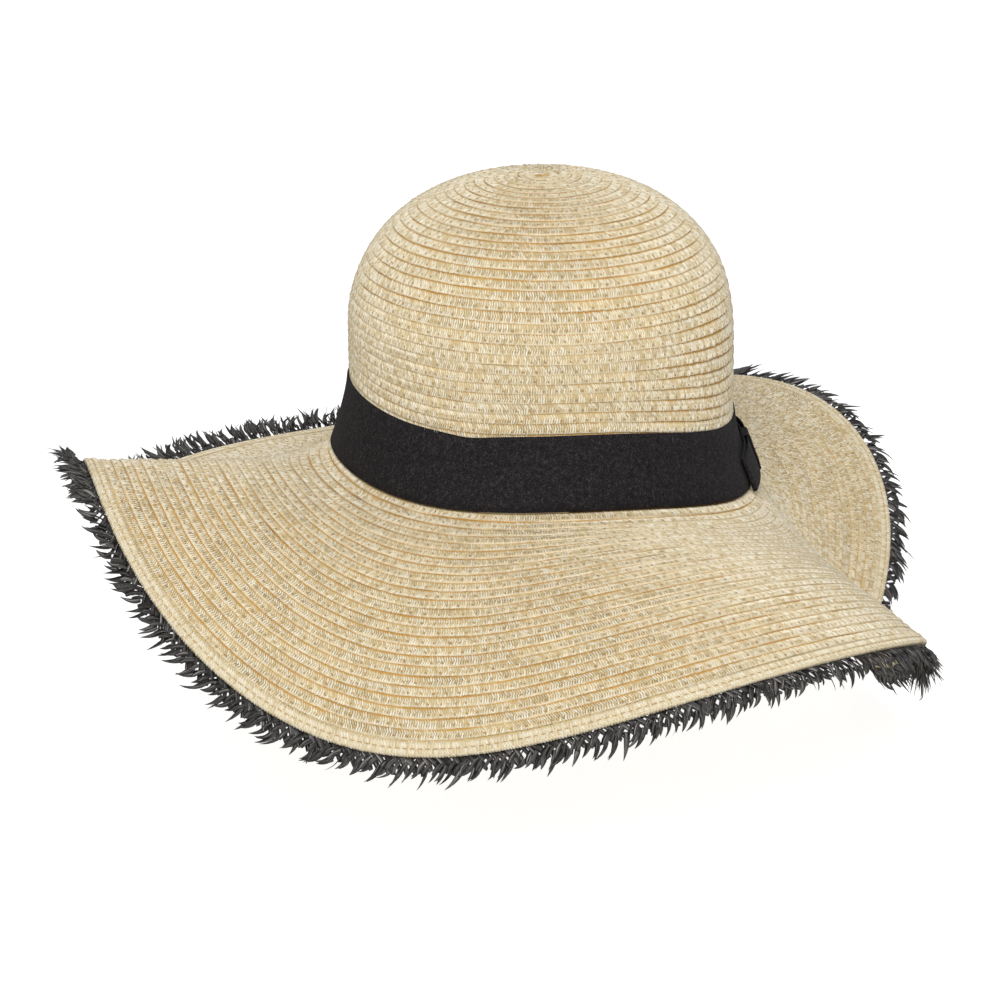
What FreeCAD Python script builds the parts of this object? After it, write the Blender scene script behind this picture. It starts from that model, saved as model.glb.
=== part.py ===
import FreeCAD, Part
import Sketcher
import math
import os
import sys

# Wide-brimmed sun hat sewn from straw braid, in millimetres.
# The origin is the centre of the head opening, level with the mean head line.
# -Y is the wearer's front, +X the wearer's left (the bow's side), +Z up.

Vector = FreeCAD.Vector

doc = FreeCAD.newDocument("sun_hat")
sheet = doc.addObject("Spreadsheet::Sheet", "sizes")

# Driving sizes: alias, value, what it is.
sizes = [
    ("crown_half_width", 88, "outside of the crown, half across the ears"),
    ("crown_half_depth", 99, "outside of the crown, half front to back"),
    ("crown_height", 132, "head line to tip"),
    ("dome_height", 73, "rounded part of the crown"),
    ("dome_power", 2.3, "exponent of the dome's curve, 2 is an ellipse"),
    ("head_flare", 8.6, "how far the crown spreads at the head line"),
    ("flare_height", 32, "height over which it spreads"),
    ("flare_power", 1.4, "how sharply it spreads"),
    ("wave_fade_height", 92, "height where the head line's wave has faded"),
    ("braid_thickness", 2.0, "straw braid where its rows lap"),
    ("row_pitch", 4.9, "one row of braid to the next"),
    ("brim_length", 128, "head line to edge, along the brim"),
    ("hem_width", 5.7, "folded last row of braid"),
    ("hem_wall", 0.8, "one layer of the folded row"),
    ("hem_gap", 1.6, "room inside the folded row"),
    ("root_fade", 7.5, "distance in which the brim turns out from the crown"),
    ("root_slope", 58, "degrees below level at the head line"),
    ("root_slope_back", 18, "degrees steeper there at the back, less at the front"),
    ("droop_mean", 21, "mean fall of the brim, degrees"),
    ("curl_mean", 4, "mean growth of the fall from root to edge, degrees"),
    ("curl_size", 32, "its change round the brim"),
    ("curl_at", -78, "where it is largest"),
    ("sweep_mean", 18, "mean sideways sweep of the brim's creases, degrees"),
    ("ribbon_height", 32, "width of the grosgrain ribbon"),
    ("ribbon_thickness", 0.8, "grosgrain ribbon"),
    ("ribbon_gap", 0.15, "clearance between the crown and what lies on it"),
    ("ribbon_bottom", 0.4, "lower edge of the ribbon above the head line"),
    ("sweatband_bottom", 1, "lower edge of the sweatband above the head line"),
    ("sweatband_height", 30, "upper edge of the sweatband above the head line"),
    ("sweatband_thickness", 0.8, "cotton grosgrain"),
    ("sweatband_seam_at", 3, "its seam above the head line"),
    ("clearance", 0.1, "between pieces that lie on each other"),
    ("thread_width", 0.4, "sewing thread"),
    ("thread_height", 0.3, "sewing thread pressed flat"),
    ("wire_radius", 0.45, "shaping wire in the brim's edge"),
    ("sleeve_inner_radius", 0.5, "crimp sleeve on the wire's ends"),
    ("sleeve_outer_radius", 0.75, "crimp sleeve on the wire's ends"),
    ("plait_width", 11, "heading of the raffia fringe"),
    ("plait_thickness", 2.5, "heading of the raffia fringe"),
    ("plait_under_edge", 5, "part of the heading sewn under the brim"),
    ("plait_rise", 1.9, "how far the heading rises past the edge"),
    ("plait_swell", 0.7, "how much thicker it is at its free side"),
    ("fringe_length", 9.8, "frayed raffia beyond the plaited heading"),
    ("fringe_thickness", 4.6, "frayed raffia where it is fullest"),
    ("label_bottom", 8, "lower edge of the label above the head line"),
    ("label_height", 14, "blank woven label"),
    ("label_thickness", 0.4, "blank woven label"),
    ("bow_loop_length", 30, "each flat loop of the bow"),
    ("bow_loop_height", 17, "folded ribbon of the bow"),
    ("bow_bottom", 1, "lower edge of the bow above the head line"),
    ("bow_wall", 0.6, "ribbon of the bow"),
    ("bow_depth", 1.9, "between the two layers of a loop"),
    ("loop_start", 0.8, "end of a loop under the knot"),
    ("loop_back", 1.8, "back layer of a loop, out from the ribbon"),
    ("bow_knot_length", 10, "wrap round the middle of the bow"),
    ("knot_slack", 0.3, "room between the wrap and the loops in it"),
    ("bow_tail_length", 38, "both tails together, under the loops"),
    ("bow_tail_height", 30, "tails under the loops"),
    ("bow_at", 3, "place of the bow, degrees from the wearer's left to the back"),
    ("tack_length", 2.4, "hand tack that holds the ribbon"),
    ("tack_width", 0.5, "hand tack that holds the ribbon"),
]
for number, (alias, value, note) in enumerate(sizes, start=1):
    sheet.set(f"A{number}", alias)
    sheet.set(f"B{number}", str(value))
    sheet.set(f"C{number}", note)
    sheet.setAlias(f"B{number}", alias)
doc.recompute()


def size(alias):
    return float(sheet.get(alias))


# Waves round the hat: (waves per turn, height, degrees where the wave is highest).
HEAD_LINE = [(1, 6.0, 213), (2, 3.0, 111), (3, 4.3, 167)]
DROOP = [(1, 21, -13), (2, 4, 11), (3, 13.5, 21), (4, 1.6, 232), (5, 5, 119)]
SWEEP = [(1, 19, 247), (2, 27, -69), (4, 3, 236)]
CURL = [(1, size("curl_size"), size("curl_at"))]

ROUND = 96  # places round the hat where each ring is worked out
WALK = 1.0  # step along the brim and the crown when their curves are added up


def wave(terms, angle):
    total = 0.0
    for turns, height, place in terms:
        total += height * math.cos(turns * angle - math.radians(place))
    return total


def unit(x, y, z=0.0):
    length = math.sqrt(x * x + y * y + z * z)
    return Vector(x / length, y / length, z / length)


def oval_normal(angle, spread=0.0):
    half_width = size("crown_half_width") + spread
    half_depth = size("crown_half_depth") + spread
    return unit(half_depth * math.cos(angle), half_width * math.sin(angle))


# Crown surface.

def crown_profile():
    """Meridian of the crown from the tip down: (share of the oval, flare, height, length)."""
    height = size("crown_height")
    dome = size("dome_height")
    power = size("dome_power")
    wall_top = height - dome
    mean_half = (size("crown_half_width") + size("crown_half_depth")) / 2
    points = []
    steps = 120
    for i in range(steps + 1):
        lean = math.pi / 2 * i / steps
        share = math.sin(lean) ** (2 / power)
        points.append((share, 0.0, wall_top + dome * math.cos(lean) ** (2 / power)))
    flare_height = size("flare_height")
    for i in range(1, 61):
        z = wall_top * (1 - i / 60)
        below = max(0.0, 1 - z / flare_height)
        points.append((1.0, size("head_flare") * below ** size("flare_power"), z))
    profile = []
    length = 0.0
    last = None
    for share, flare, z in points:
        here = (mean_half * share + flare, z)
        if last is not None:
            length += math.hypot(here[0] - last[0], here[1] - last[1])
        profile.append((share, flare, z, length))
        last = here
    return profile


PROFILE = crown_profile()
CROWN_LENGTH = PROFILE[-1][3]


def profile_at(length):
    for before, after in zip(PROFILE, PROFILE[1:]):
        if length <= after[3]:
            part = (length - before[3]) / (after[3] - before[3])
            return [a + (b - a) * part for a, b in zip(before[:3], after[:3])]
    return list(PROFILE[-1][:3])


def crown_skin(length, angle):
    """Point of the crown's outside, by the length of braid from the tip."""
    share, flare, z = profile_at(length)
    normal = oval_normal(angle)
    x = size("crown_half_width") * share * math.cos(angle) + normal.x * flare
    y = size("crown_half_depth") * share * math.sin(angle) + normal.y * flare
    start = size("flare_height")
    fade = (z - start) / (size("wave_fade_height") - start)
    fade = min(1.0, max(0.0, fade))
    keep = 1 - fade * fade * (3 - 2 * fade)
    return Vector(x, y, z + wave(HEAD_LINE, angle) * keep)


def crown_point(length, angle, lift=0.0):
    """Point at a distance lift outside the crown."""
    here = crown_skin(length, angle)
    if lift == 0.0:
        return here
    step = 0.6
    turn = 0.02
    down = crown_skin(min(length + step, CROWN_LENGTH), angle) - crown_skin(length - step, angle)
    along = crown_skin(length, angle + turn) - crown_skin(length, angle - turn)
    normal = down.cross(along)
    normal.normalize()
    return here + normal * lift


def height_to_length(height):
    """Length from the tip for a height above the head line, on the wall."""
    for before, after in zip(PROFILE, PROFILE[1:]):
        if after[2] <= height:
            part = (before[2] - height) / (before[2] - after[2])
            return before[3] + (after[3] - before[3]) * part
    return CROWN_LENGTH


# Brim surface.

LONGEST = 150.0
brim_lines = {}


def brim_line(angle):
    """One crease line of the brim, from the head line outwards in even steps."""
    key = round(angle, 6)
    if key in brim_lines:
        return brim_lines[key]
    here = crown_skin(CROWN_LENGTH, angle)
    normal = oval_normal(angle, size("head_flare"))
    heading = math.atan2(normal.y, normal.x)
    root = size("root_slope") + size("root_slope_back") * math.sin(angle)
    droop = size("droop_mean") + wave(DROOP, angle)
    curl = size("curl_mean") + wave(CURL, angle)
    sweep = math.radians(size("sweep_mean") + wave(SWEEP, angle))
    fade = size("root_fade")
    brim = size("brim_length")
    line = [here]
    steps = int(LONGEST / WALK)
    for i in range(steps):
        s = (i + 0.5) * WALK
        settled = math.exp(-s / fade)
        fall = droop + curl * (s / brim - 0.5) + (root - droop + curl / 2) * settled
        fall = math.radians(fall)
        course = heading + sweep * (1 - settled)
        flat = math.cos(fall) * WALK
        step = Vector(math.cos(course) * flat, math.sin(course) * flat, -math.sin(fall) * WALK)
        here = here + step
        line.append(here)
    brim_lines[key] = line
    return line


def brim_skin(s, angle):
    line = brim_line(angle)
    place = max(0.0, s) / WALK
    i = min(int(place), len(line) - 2)
    return line[i] + (line[i + 1] - line[i]) * (place - i)


def brim_point(s, angle, lift=0.0):
    """Point at a distance lift above the brim's upper face."""
    here = brim_skin(s, angle)
    if lift == 0.0:
        return here
    turn = math.radians(0.75)
    out = brim_skin(s + 1.5, angle) - brim_skin(s - 1.5, angle)
    along = brim_skin(s, angle + turn) - brim_skin(s, angle - turn)
    normal = out.cross(along)
    normal.normalize()
    return here + normal * lift


# Building solids from rings.

def ring(surface, place, lift, count=ROUND):
    """Closed smooth curve round the hat."""
    points = [surface(place, 2 * math.pi * i / count, lift) for i in range(count)]
    curve = Part.BSplineCurve()
    knots = [i / count for i in range(count + 1)]
    curve.interpolate(Points=points, PeriodicFlag=True, Parameters=knots)
    return curve.toShape()


def run(surface, route, lift, side=0.0):
    """Open smooth curve along a route of (place, angle) pairs."""
    points = [surface(place + side, angle, lift) for place, angle in route]
    curve = Part.BSplineCurve()
    last = len(points) - 1
    curve.interpolate(Points=points, Parameters=[i / last for i in range(last + 1)])
    return curve.toShape()


def ruled(first, second):
    return Part.makeRuledSurface(first, second).Faces


def closed_solid(faces):
    shell = Part.Shell(faces)
    solid = Part.Solid(shell)
    if solid.Volume < 0:
        solid.reverse()
    return solid


def ring_solid(surface, section):
    """Ring of one section, given as (place, lift) corners in order."""
    edges = [ring(surface, place, lift) for place, lift in section]
    faces = []
    for i, edge in enumerate(edges):
        faces += ruled(edge, edges[(i + 1) % len(edges)])
    return closed_solid(faces)


def length_solid(surface, section, route):
    """Length of one section along an open route, with both ends closed."""
    edges = [run(surface, route, lift, side) for side, lift in section]
    faces = []
    for i, edge in enumerate(edges):
        faces += ruled(edge, edges[(i + 1) % len(edges)])
    for end in (0, -1):
        corners = [edge.Vertexes[end].Point for edge in edges]
        middle = corners[0]
        for a, b in zip(corners[1:], corners[2:]):
            wire = Part.makePolygon([middle, a, b, middle])
            faces.append(Part.Face(wire))
    shell = Part.Shell(faces)
    shell.sewShape()
    solid = Part.Solid(shell)
    if solid.Volume < 0:
        solid.reverse()
    return solid


def octagon(place, lift, radius):
    corners = []
    for i in range(8):
        turn = math.pi / 4 * (i + 0.5)
        corners.append((place + radius * math.cos(turn), lift + radius * math.sin(turn)))
    return corners


parts = []


def add_feature(name, shape):
    feature = doc.addObject("Part::Feature", name)
    feature.Shape = shape
    feature.Placement = FreeCAD.Placement()
    feature.Label = name
    parts.append(feature)
    return feature


# Crown and brim, sewn from one long braid.

def make_crown():
    thickness = size("braid_thickness")
    places = [6, 12, 20, 29, 38, 47, 56, 65, 74, 83, 92, 101, 110, 119, 128, 136]
    wall = [55, 46, 38, 32, 26, 20, 14, 9, 4.5]
    places += [height_to_length(height) for height in wall] + [CROWN_LENGTH]
    outer = [ring(crown_point, place, 0.0) for place in places]
    inner = [ring(crown_point, place, -thickness) for place in places]
    faces = []
    for edges in (outer, inner):
        for above, below in zip(edges, edges[1:]):
            faces += ruled(above, below)
        faces.append(Part.makeFilledFace([edges[0]]))
    faces += ruled(outer[-1], inner[-1])
    add_feature("crown_braid", closed_solid(faces))


def make_brim():
    thickness = size("braid_thickness")
    butt = 0.3  # gap to the crown above and to the hem outside
    edge = size("brim_length") - size("hem_width") - butt
    places = [butt, 3, 6, 9, 13, 18, 26, 40, 58, 76, 94, 108, edge]
    top = [(place, 0.0) for place in places]
    bottom = [(place, -thickness) for place in reversed(places)]
    add_feature("brim_braid", ring_solid(brim_point, top + bottom))


def make_hem():
    outside = size("brim_length")
    inside = outside - size("hem_width")
    wall = size("hem_wall")
    gap = size("hem_gap")
    middle = -size("braid_thickness") / 2
    fold = outside - wall
    section = [
        (inside, middle + gap / 2 + wall),
        (outside, middle + gap / 2 + wall),
        (outside, middle - gap / 2 - wall),
        (inside, middle - gap / 2 - wall),
        (inside, middle - gap / 2),
        (fold, middle - gap / 2),
        (fold, middle + gap / 2),
        (inside, middle + gap / 2),
    ]
    add_feature("brim_hem", ring_solid(brim_point, section))


def wire_place():
    return size("brim_length") - size("hem_wall") - size("sleeve_outer_radius") - 2 * size("clearance")


def make_wire():
    middle = -size("braid_thickness") / 2
    add_feature("brim_wire", ring_solid(brim_point, octagon(wire_place(), middle, size("wire_radius"))))


def make_wire_sleeve():
    # the sleeve stays slit on its side towards the crown
    middle = -size("braid_thickness") / 2
    outer = octagon(0.0, middle, size("sleeve_outer_radius"))
    inner = octagon(0.0, middle, size("sleeve_inner_radius"))
    outer = outer[4:] + outer[:4]
    inner = inner[4:] + inner[:4]
    section = outer + list(reversed(inner))
    first_degrees = 87
    route = [(wire_place(), math.radians(first_degrees + 0.5 * i)) for i in range(11)]
    add_feature("wire_sleeve", length_solid(brim_point, section, route))


# Raffia fringe under the edge.

def make_fringe():
    clearance = size("clearance")
    under = -size("braid_thickness") / 2 - size("hem_gap") / 2 - size("hem_wall") - 2 * clearance
    start = size("brim_length") - size("plait_under_edge")
    edge = size("brim_length") + 4 * clearance
    slope = 1.2  # distance in which the heading rises past the edge
    end = start + size("plait_width")
    thick = size("plait_thickness")
    rise = size("plait_rise")
    heading = [
        (start, under),
        (edge, under),
        (edge + slope, under + rise),
        (end, under + rise),
        (end, under + rise - thick - size("plait_swell")),
        (start, under - thick),
    ]
    add_feature("fringe_heading", ring_solid(brim_point, heading))
    root = end + 2 * clearance
    tip = root + size("fringe_length")
    fullest = (root + tip) / 2
    middle = under + rise - thick / 2 - 3 * clearance
    half = size("fringe_thickness") / 2
    root_half, tip_half = 0.7 * half, 0.35 * half
    ends = [
        (root, middle + root_half),
        (fullest, middle + half),
        (tip, middle + tip_half),
        (tip, middle - tip_half),
        (fullest, middle - half),
        (root, middle - root_half),
    ]
    add_feature("fringe_ends", ring_solid(brim_point, ends))
    seam = start + 2  # into the heading from its sewn side
    section = [(seam + side, lift) for side, lift in thread_section(under - thick - clearance)]
    add_feature("fringe_thread", ring_solid(brim_point, section))


# Sewing threads.

def spiral(first, last, pitch, per_turn):
    turns = (last - first) / pitch
    count = int(turns * per_turn)
    return [(first + pitch * i / per_turn, 2 * math.pi * i / per_turn) for i in range(count + 1)]


def thread_section(top):
    half = size("thread_width") / 2
    bottom = top - size("thread_height")
    return [(-half, top), (half, top), (half, bottom), (-half, bottom)]


def make_threads():
    pitch = size("row_pitch")
    below = -size("braid_thickness") - 1.2 * size("clearance")
    above_sweatband = 3
    sweatband_top = height_to_length(size("sweatband_height") + above_sweatband)
    crown_route = spiral(3 * pitch, sweatband_top, pitch, 36)
    add_feature("crown_thread", length_solid(crown_point, thread_section(below), crown_route))
    brim_end = size("brim_length") - size("hem_width") - 0.8 * pitch
    brim_route = spiral(1.2 * pitch, brim_end, pitch, 60)
    add_feature("brim_thread", length_solid(brim_point, thread_section(below), brim_route))
    seam = size("brim_length") - size("hem_width") + 1.6  # into the hem from its inner side
    bottom = -size("braid_thickness") / 2 + size("hem_gap") / 2 + size("hem_wall") + size("clearance")
    top = bottom + size("thread_height")
    section = [(seam + side, lift) for side, lift in thread_section(top)]
    add_feature("hem_thread", ring_solid(brim_point, section))


# Ribbon, sweatband and label.

def band_section(bottom, top, near, far):
    """Section of a band on the crown between two heights and two lifts."""
    steps = 5
    heights = [bottom + (top - bottom) * i / steps for i in range(steps + 1)]
    places = [height_to_length(height) for height in heights]
    out = [(place, far) for place in places]
    back = [(place, near) for place in reversed(places)]
    return out + back


def make_bands():
    gap = size("ribbon_gap")
    low = size("ribbon_bottom")
    ribbon = band_section(low, low + size("ribbon_height"), gap, gap + size("ribbon_thickness"))
    add_feature("ribbon_band", ring_solid(crown_point, ribbon))
    inside = -size("braid_thickness") - 2 * size("clearance")
    face = inside - size("sweatband_thickness")
    band = band_section(size("sweatband_bottom"), size("sweatband_height"), inside, face)
    add_feature("sweatband", ring_solid(crown_point, band))
    near = face - size("clearance")
    seam = height_to_length(size("sweatband_seam_at"))
    section = [(seam + side, lift) for side, lift in thread_section(near)]
    add_feature("sweatband_thread", ring_solid(crown_point, section))
    low = size("label_bottom")
    top = height_to_length(low + size("label_height"))
    drop = height_to_length(low) - top
    far = near - size("label_thickness")
    section = [(0.0, near), (drop, near), (drop, far), (0.0, far)]
    first_degrees = 82
    route = [(top, math.radians(first_degrees + i)) for i in range(17)]
    add_feature("size_label", length_solid(crown_point, section, route))


# Bow.

def bow_placement(height, lift=0.0, degrees=None):
    """Local X towards the front, Y out from the ribbon, Z up along it."""
    if degrees is None:
        degrees = size("bow_at")
    angle = math.radians(degrees)
    place = height_to_length(height)
    surface = size("ribbon_gap") + size("ribbon_thickness")
    base = crown_point(place, angle, surface)
    out = crown_point(place, angle, surface + 1) - base
    along = crown_point(place, angle - 0.02, surface) - crown_point(place, angle + 0.02, surface)
    along.normalize()
    up = along.cross(out)
    up.normalize()
    rotation = FreeCAD.Rotation(along, out, up, "ZXY")
    return FreeCAD.Placement(base + out * lift, rotation)


def origin_plane(body, role):
    for feature in body.Origin.OriginFeatures:
        if feature.Role == role:
            return feature
    raise RuntimeError(f"{body.Name} has no {role}")


def new_sketch(body, role):
    sketch = body.newObject("Sketcher::SketchObject", f"{body.Name}_sketch")
    sketch.AttachmentSupport = [(origin_plane(body, role), "")]
    sketch.MapMode = "FlatFace"
    return sketch


def new_pad(body, sketch, alias, both_ways=False):
    pad = body.newObject("PartDesign::Pad", f"{body.Name}_pad")
    pad.Profile = sketch
    pad.setExpression("Length", f"sizes.{alias}")
    if both_ways:
        pad.SideType = "Symmetric"
    sketch.Visibility = False
    return pad


def add_outline(sketch, outline):
    """Closed outline of lines and arcs, its ends held together."""
    first = sketch.GeometryCount
    count = len(outline)
    for piece in outline:
        sketch.addGeometry(piece, False)
    for i, piece in enumerate(outline):
        following = outline[(i + 1) % count]
        for end, point in ((1, piece.StartPoint), (2, piece.EndPoint)):
            for other, meets in ((1, following.StartPoint), (2, following.EndPoint)):
                if point.distanceToPoint(meets) < 1e-6:
                    pair = (first + i, end, first + (i + 1) % count, other)
                    sketch.addConstraint(Sketcher.Constraint("Coincident", *pair))


def follow_crown(x):
    """Fall of the ribbon's surface below its tangent at the bow."""
    radius = size("crown_half_depth") ** 2 / size("crown_half_width")
    return -x * x / (2 * radius)


def arc(a, b, c):
    """Arc through three points, kept anticlockwise as a sketch keeps its arcs."""
    turns_left = (b[0] - a[0]) * (c[1] - b[1]) - (b[1] - a[1]) * (c[0] - b[0]) > 0
    if not turns_left:
        a, c = c, a
    return Part.Arc(Vector(*a, 0), Vector(*b, 0), Vector(*c, 0))


def line(a, b):
    return Part.LineSegment(Vector(*a, 0), Vector(*b, 0))


def loop_outline(inset):
    """Flat loop seen from above: back layer, fold, front layer, closed at the knot."""
    length = size("bow_loop_length") - inset
    back = size("loop_back") + inset
    depth = size("bow_depth") - 2 * inset
    front = back + depth
    start = size("loop_start") + inset
    half = length / 2
    back_spring, front_spring, swell, tip_reach = 0.1, 0.5, 0.7, 0.2
    fold_back = (length - depth / 2, back + follow_crown(length) + back_spring)
    fold_front = (length - depth / 2, front + follow_crown(length) + front_spring)
    fold_tip = (length + tip_reach, (fold_back[1] + fold_front[1]) / 2)
    return [
        arc((start, back), (half, back + follow_crown(half)), fold_back),
        arc(fold_back, fold_tip, fold_front),
        arc(fold_front, (half, front + swell + follow_crown(half)), (start, front)),
        line((start, front), (start, back)),
    ]


def make_loop(name, side):
    body = doc.addObject("PartDesign::Body", name)
    sketch = new_sketch(body, "XY_Plane")
    for inset in (0.0, size("bow_wall")):
        add_outline(sketch, loop_outline(inset))
    new_pad(body, sketch, "bow_loop_height")
    placement = bow_placement(size("bow_bottom"))
    if side < 0:
        # the back loop is the same loop turned end for end about the outward axis
        turn = FreeCAD.Rotation(Vector(0, 1, 0), 180)
        shift = Vector(0, 0, size("bow_loop_height"))
        placement = placement.multiply(FreeCAD.Placement(shift, turn))
    body.Placement = placement
    body.Label = name
    parts.append(body)


def knot_faces():
    """Back and front of the wrap, out from the ribbon."""
    back = size("loop_back") - size("loop_start")
    return back, back + 2 * size("bow_wall") + size("bow_depth") + 2 * size("knot_slack")


def make_knot():
    body = doc.addObject("PartDesign::Body", "bow_knot")
    sketch = new_sketch(body, "YZ_Plane")
    wall = size("bow_wall")
    slack = size("knot_slack")
    high = size("bow_loop_height") + slack
    back, front = knot_faces()
    for grow in (wall, 0.0):
        near = back + wall - grow
        far = front - wall + grow
        low = -slack - grow
        top = high + grow
        corners = [(near, low), (far, low), (far, top), (near, top)]
        add_outline(sketch, [line(corners[i], corners[(i + 1) % 4]) for i in range(4)])
    new_pad(body, sketch, "bow_knot_length", both_ways=True)
    body.Placement = bow_placement(size("bow_bottom"))
    body.Label = "bow_knot"
    parts.append(body)


def make_tails():
    body = doc.addObject("PartDesign::Body", "bow_tails")
    sketch = new_sketch(body, "XY_Plane")
    half = size("bow_tail_length") / 2
    near = size("ribbon_gap")
    far = near + size("bow_wall")
    fall = follow_crown(half)
    outline = [
        arc((-half, near + fall), (0, near), (half, near + fall)),
        line((half, near + fall), (half, far + fall)),
        arc((half, far + fall), (0, far), (-half, far + fall)),
        line((-half, far + fall), (-half, near + fall)),
    ]
    add_outline(sketch, outline)
    new_pad(body, sketch, "bow_tail_height")
    body.Placement = bow_placement(size("bow_bottom"))
    body.Label = "bow_tails"
    parts.append(body)


def make_tacks(name, places):
    """Hand tacks as one group of small flat boxes: (degrees, height, lift)."""
    boxes = []
    for number, (degrees, height, lift) in enumerate(places, start=1):
        box = doc.addObject("Part::Box", f"{name}_{number}")
        box.setExpression("Length", "sizes.tack_width")
        box.setExpression("Width", "sizes.thread_height")
        box.setExpression("Height", "sizes.tack_length")
        box.Placement = bow_placement(height, lift, degrees)
        boxes.append(box)
    group = doc.addObject("Part::Compound", name)
    group.Links = boxes
    group.Label = name
    parts.append(group)


def make_bow():
    make_tails()
    make_loop("bow_loop_front", 1)
    make_loop("bow_loop_back", -1)
    make_knot()
    clearance = size("clearance")
    below_top = 4
    top = size("ribbon_height") - below_top
    make_tacks("ribbon_tacks", [(degrees, top, clearance) for degrees in (60, 140, 235, 310)])
    lift = knot_faces()[1] + clearance
    heights = (size("bow_bottom") + 2, size("bow_bottom") + 12)
    make_tacks("bow_tacks", [(size("bow_at"), height, lift) for height in heights])


make_crown()
make_brim()
make_hem()
make_wire()
make_wire_sleeve()
make_fringe()
make_threads()
make_bands()
make_bow()

doc.recompute()
problems = []
for thing in doc.Objects:
    if "Invalid" in thing.State or "Error" in thing.State:
        problems.append(f"{thing.Name}: {thing.State}")
for part in parts:
    if part.Shape.isNull() or not part.Shape.isValid() or part.Shape.Volume <= 0:
        problems.append(f"{part.Label}: no valid solid")
if problems:
    print("\n".join(problems))
    sys.exit(1)

os.makedirs("parts", exist_ok=True)
for part in parts:
    part.Shape.exportStep(f"parts/{part.Label}.step")
    box = part.Shape.BoundBox
    print(f"{part.Label}: {len(part.Shape.Solids)} solid(s), {part.Shape.Volume / 1000:.2f} cm3, "
          f"z {box.ZMin:.1f} to {box.ZMax:.1f}")
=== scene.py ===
import math

import bmesh
import bpy
import numpy as np
from mathutils import Euler, Matrix, Vector


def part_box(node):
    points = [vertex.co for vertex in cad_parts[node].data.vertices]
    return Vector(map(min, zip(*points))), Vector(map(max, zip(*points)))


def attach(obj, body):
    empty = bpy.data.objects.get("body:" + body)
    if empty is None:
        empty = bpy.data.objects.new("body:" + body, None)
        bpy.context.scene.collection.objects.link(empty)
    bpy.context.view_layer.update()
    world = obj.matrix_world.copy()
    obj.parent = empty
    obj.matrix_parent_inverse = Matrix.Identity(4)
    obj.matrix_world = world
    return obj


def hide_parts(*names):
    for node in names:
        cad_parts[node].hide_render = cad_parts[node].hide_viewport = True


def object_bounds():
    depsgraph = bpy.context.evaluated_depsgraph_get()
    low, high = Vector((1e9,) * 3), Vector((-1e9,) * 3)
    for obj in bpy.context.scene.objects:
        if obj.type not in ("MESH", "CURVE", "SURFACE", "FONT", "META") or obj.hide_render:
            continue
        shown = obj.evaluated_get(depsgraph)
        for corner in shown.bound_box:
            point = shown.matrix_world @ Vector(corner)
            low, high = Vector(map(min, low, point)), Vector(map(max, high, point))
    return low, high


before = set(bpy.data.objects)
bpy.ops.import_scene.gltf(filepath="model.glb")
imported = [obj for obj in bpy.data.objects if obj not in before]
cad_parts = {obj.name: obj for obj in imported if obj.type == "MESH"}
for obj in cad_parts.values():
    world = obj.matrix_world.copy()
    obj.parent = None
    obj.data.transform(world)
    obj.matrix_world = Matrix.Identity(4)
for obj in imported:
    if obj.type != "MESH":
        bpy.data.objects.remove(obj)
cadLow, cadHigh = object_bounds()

# Straw sun hat with a raffia fringe. Lengths below are in millimetres unless a note says otherwise.
# The wearer's front is -Y, the wearer's left (the bow's side) is +X, and angles run from +X to the back.
mm = 0.001
fullTurn = 2 * math.pi
scene = bpy.context.scene
dice = np.random.default_rng(41)

view = {
    "distance": 1600,
    "elevation": 16.8,       # degrees above level
    "roll": -0.29,           # degrees
    "lens": 123.94,
    "sensor": 36,
    "shift": (-0.0390, -0.0485),
    "farthest": 50,          # metres
}


def makeCamera():
    data = bpy.data.cameras.new("studioCamera")
    data.lens = view["lens"]
    data.sensor_width = view["sensor"]
    data.shift_x, data.shift_y = view["shift"]
    data.clip_end = view["farthest"]
    camera = bpy.data.objects.new("studioCamera", data)
    scene.collection.objects.link(camera)
    tilt = math.radians(view["elevation"])
    away = view["distance"] * mm
    aim = Euler((math.pi / 2 - tilt, 0, 0)).to_matrix() @ Matrix.Rotation(math.radians(view["roll"]), 3, "Z")
    stand = Vector((0, -away * math.cos(tilt), away * math.sin(tilt)))
    camera.matrix_world = Matrix.Translation(stand) @ aim.to_4x4()
    scene.camera = camera


makeCamera()

crown = {
    "halfWidth": 88,
    "halfDepth": 99,
    "height": 132,
    "domeHeight": 73,
    "domePower": 2.3,
    "flare": 8.6,
    "flareHeight": 32,
    "flarePower": 1.4,
    "waveFadeHeight": 92,
    "headLine": [(1, 6.0, 213), (2, 3.0, 111), (3, 4.3, 167)],   # waves per turn, height, degrees
    "domeSteps": 120,
    "wallSteps": 60,
}
brim = {
    "length": 128,
    "tableLength": 150,
    "tableStep": 0.5,
    "creases": 1440,
    "rootFade": 7.5,
    "rootSlope": 58,
    "rootSlopeBack": 18,
    "droopMean": 21,
    "droop": [(1, 21, -13), (2, 4, 11), (3, 13.5, 21), (4, 1.6, 232), (5, 5, 119)],
    "curlMean": 4,
    "curl": [(1, 32, -78)],
    "sweepMean": 18,
    "sweep": [(1, 19, 247), (2, 27, -69), (4, 3, 236)],
}
probe = {"length": 0.6, "angle": 0.02, "tip": 0.8}   # steps that find the way the crown faces


def wave(terms, angle):
    total = np.zeros_like(angle, dtype=float)
    for turns, height, place in terms:
        total += height * np.cos(turns * angle - math.radians(place))
    return total


def unit(vectors):
    length = np.linalg.norm(vectors, axis=-1, keepdims=True)
    return vectors / np.maximum(length, 1e-9)


def ovalNormal(angle, spread=0.0):
    x = (crown["halfDepth"] + spread) * np.cos(angle)
    y = (crown["halfWidth"] + spread) * np.sin(angle)
    return unit(np.stack([x, y, np.zeros_like(x)], axis=-1))


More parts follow.
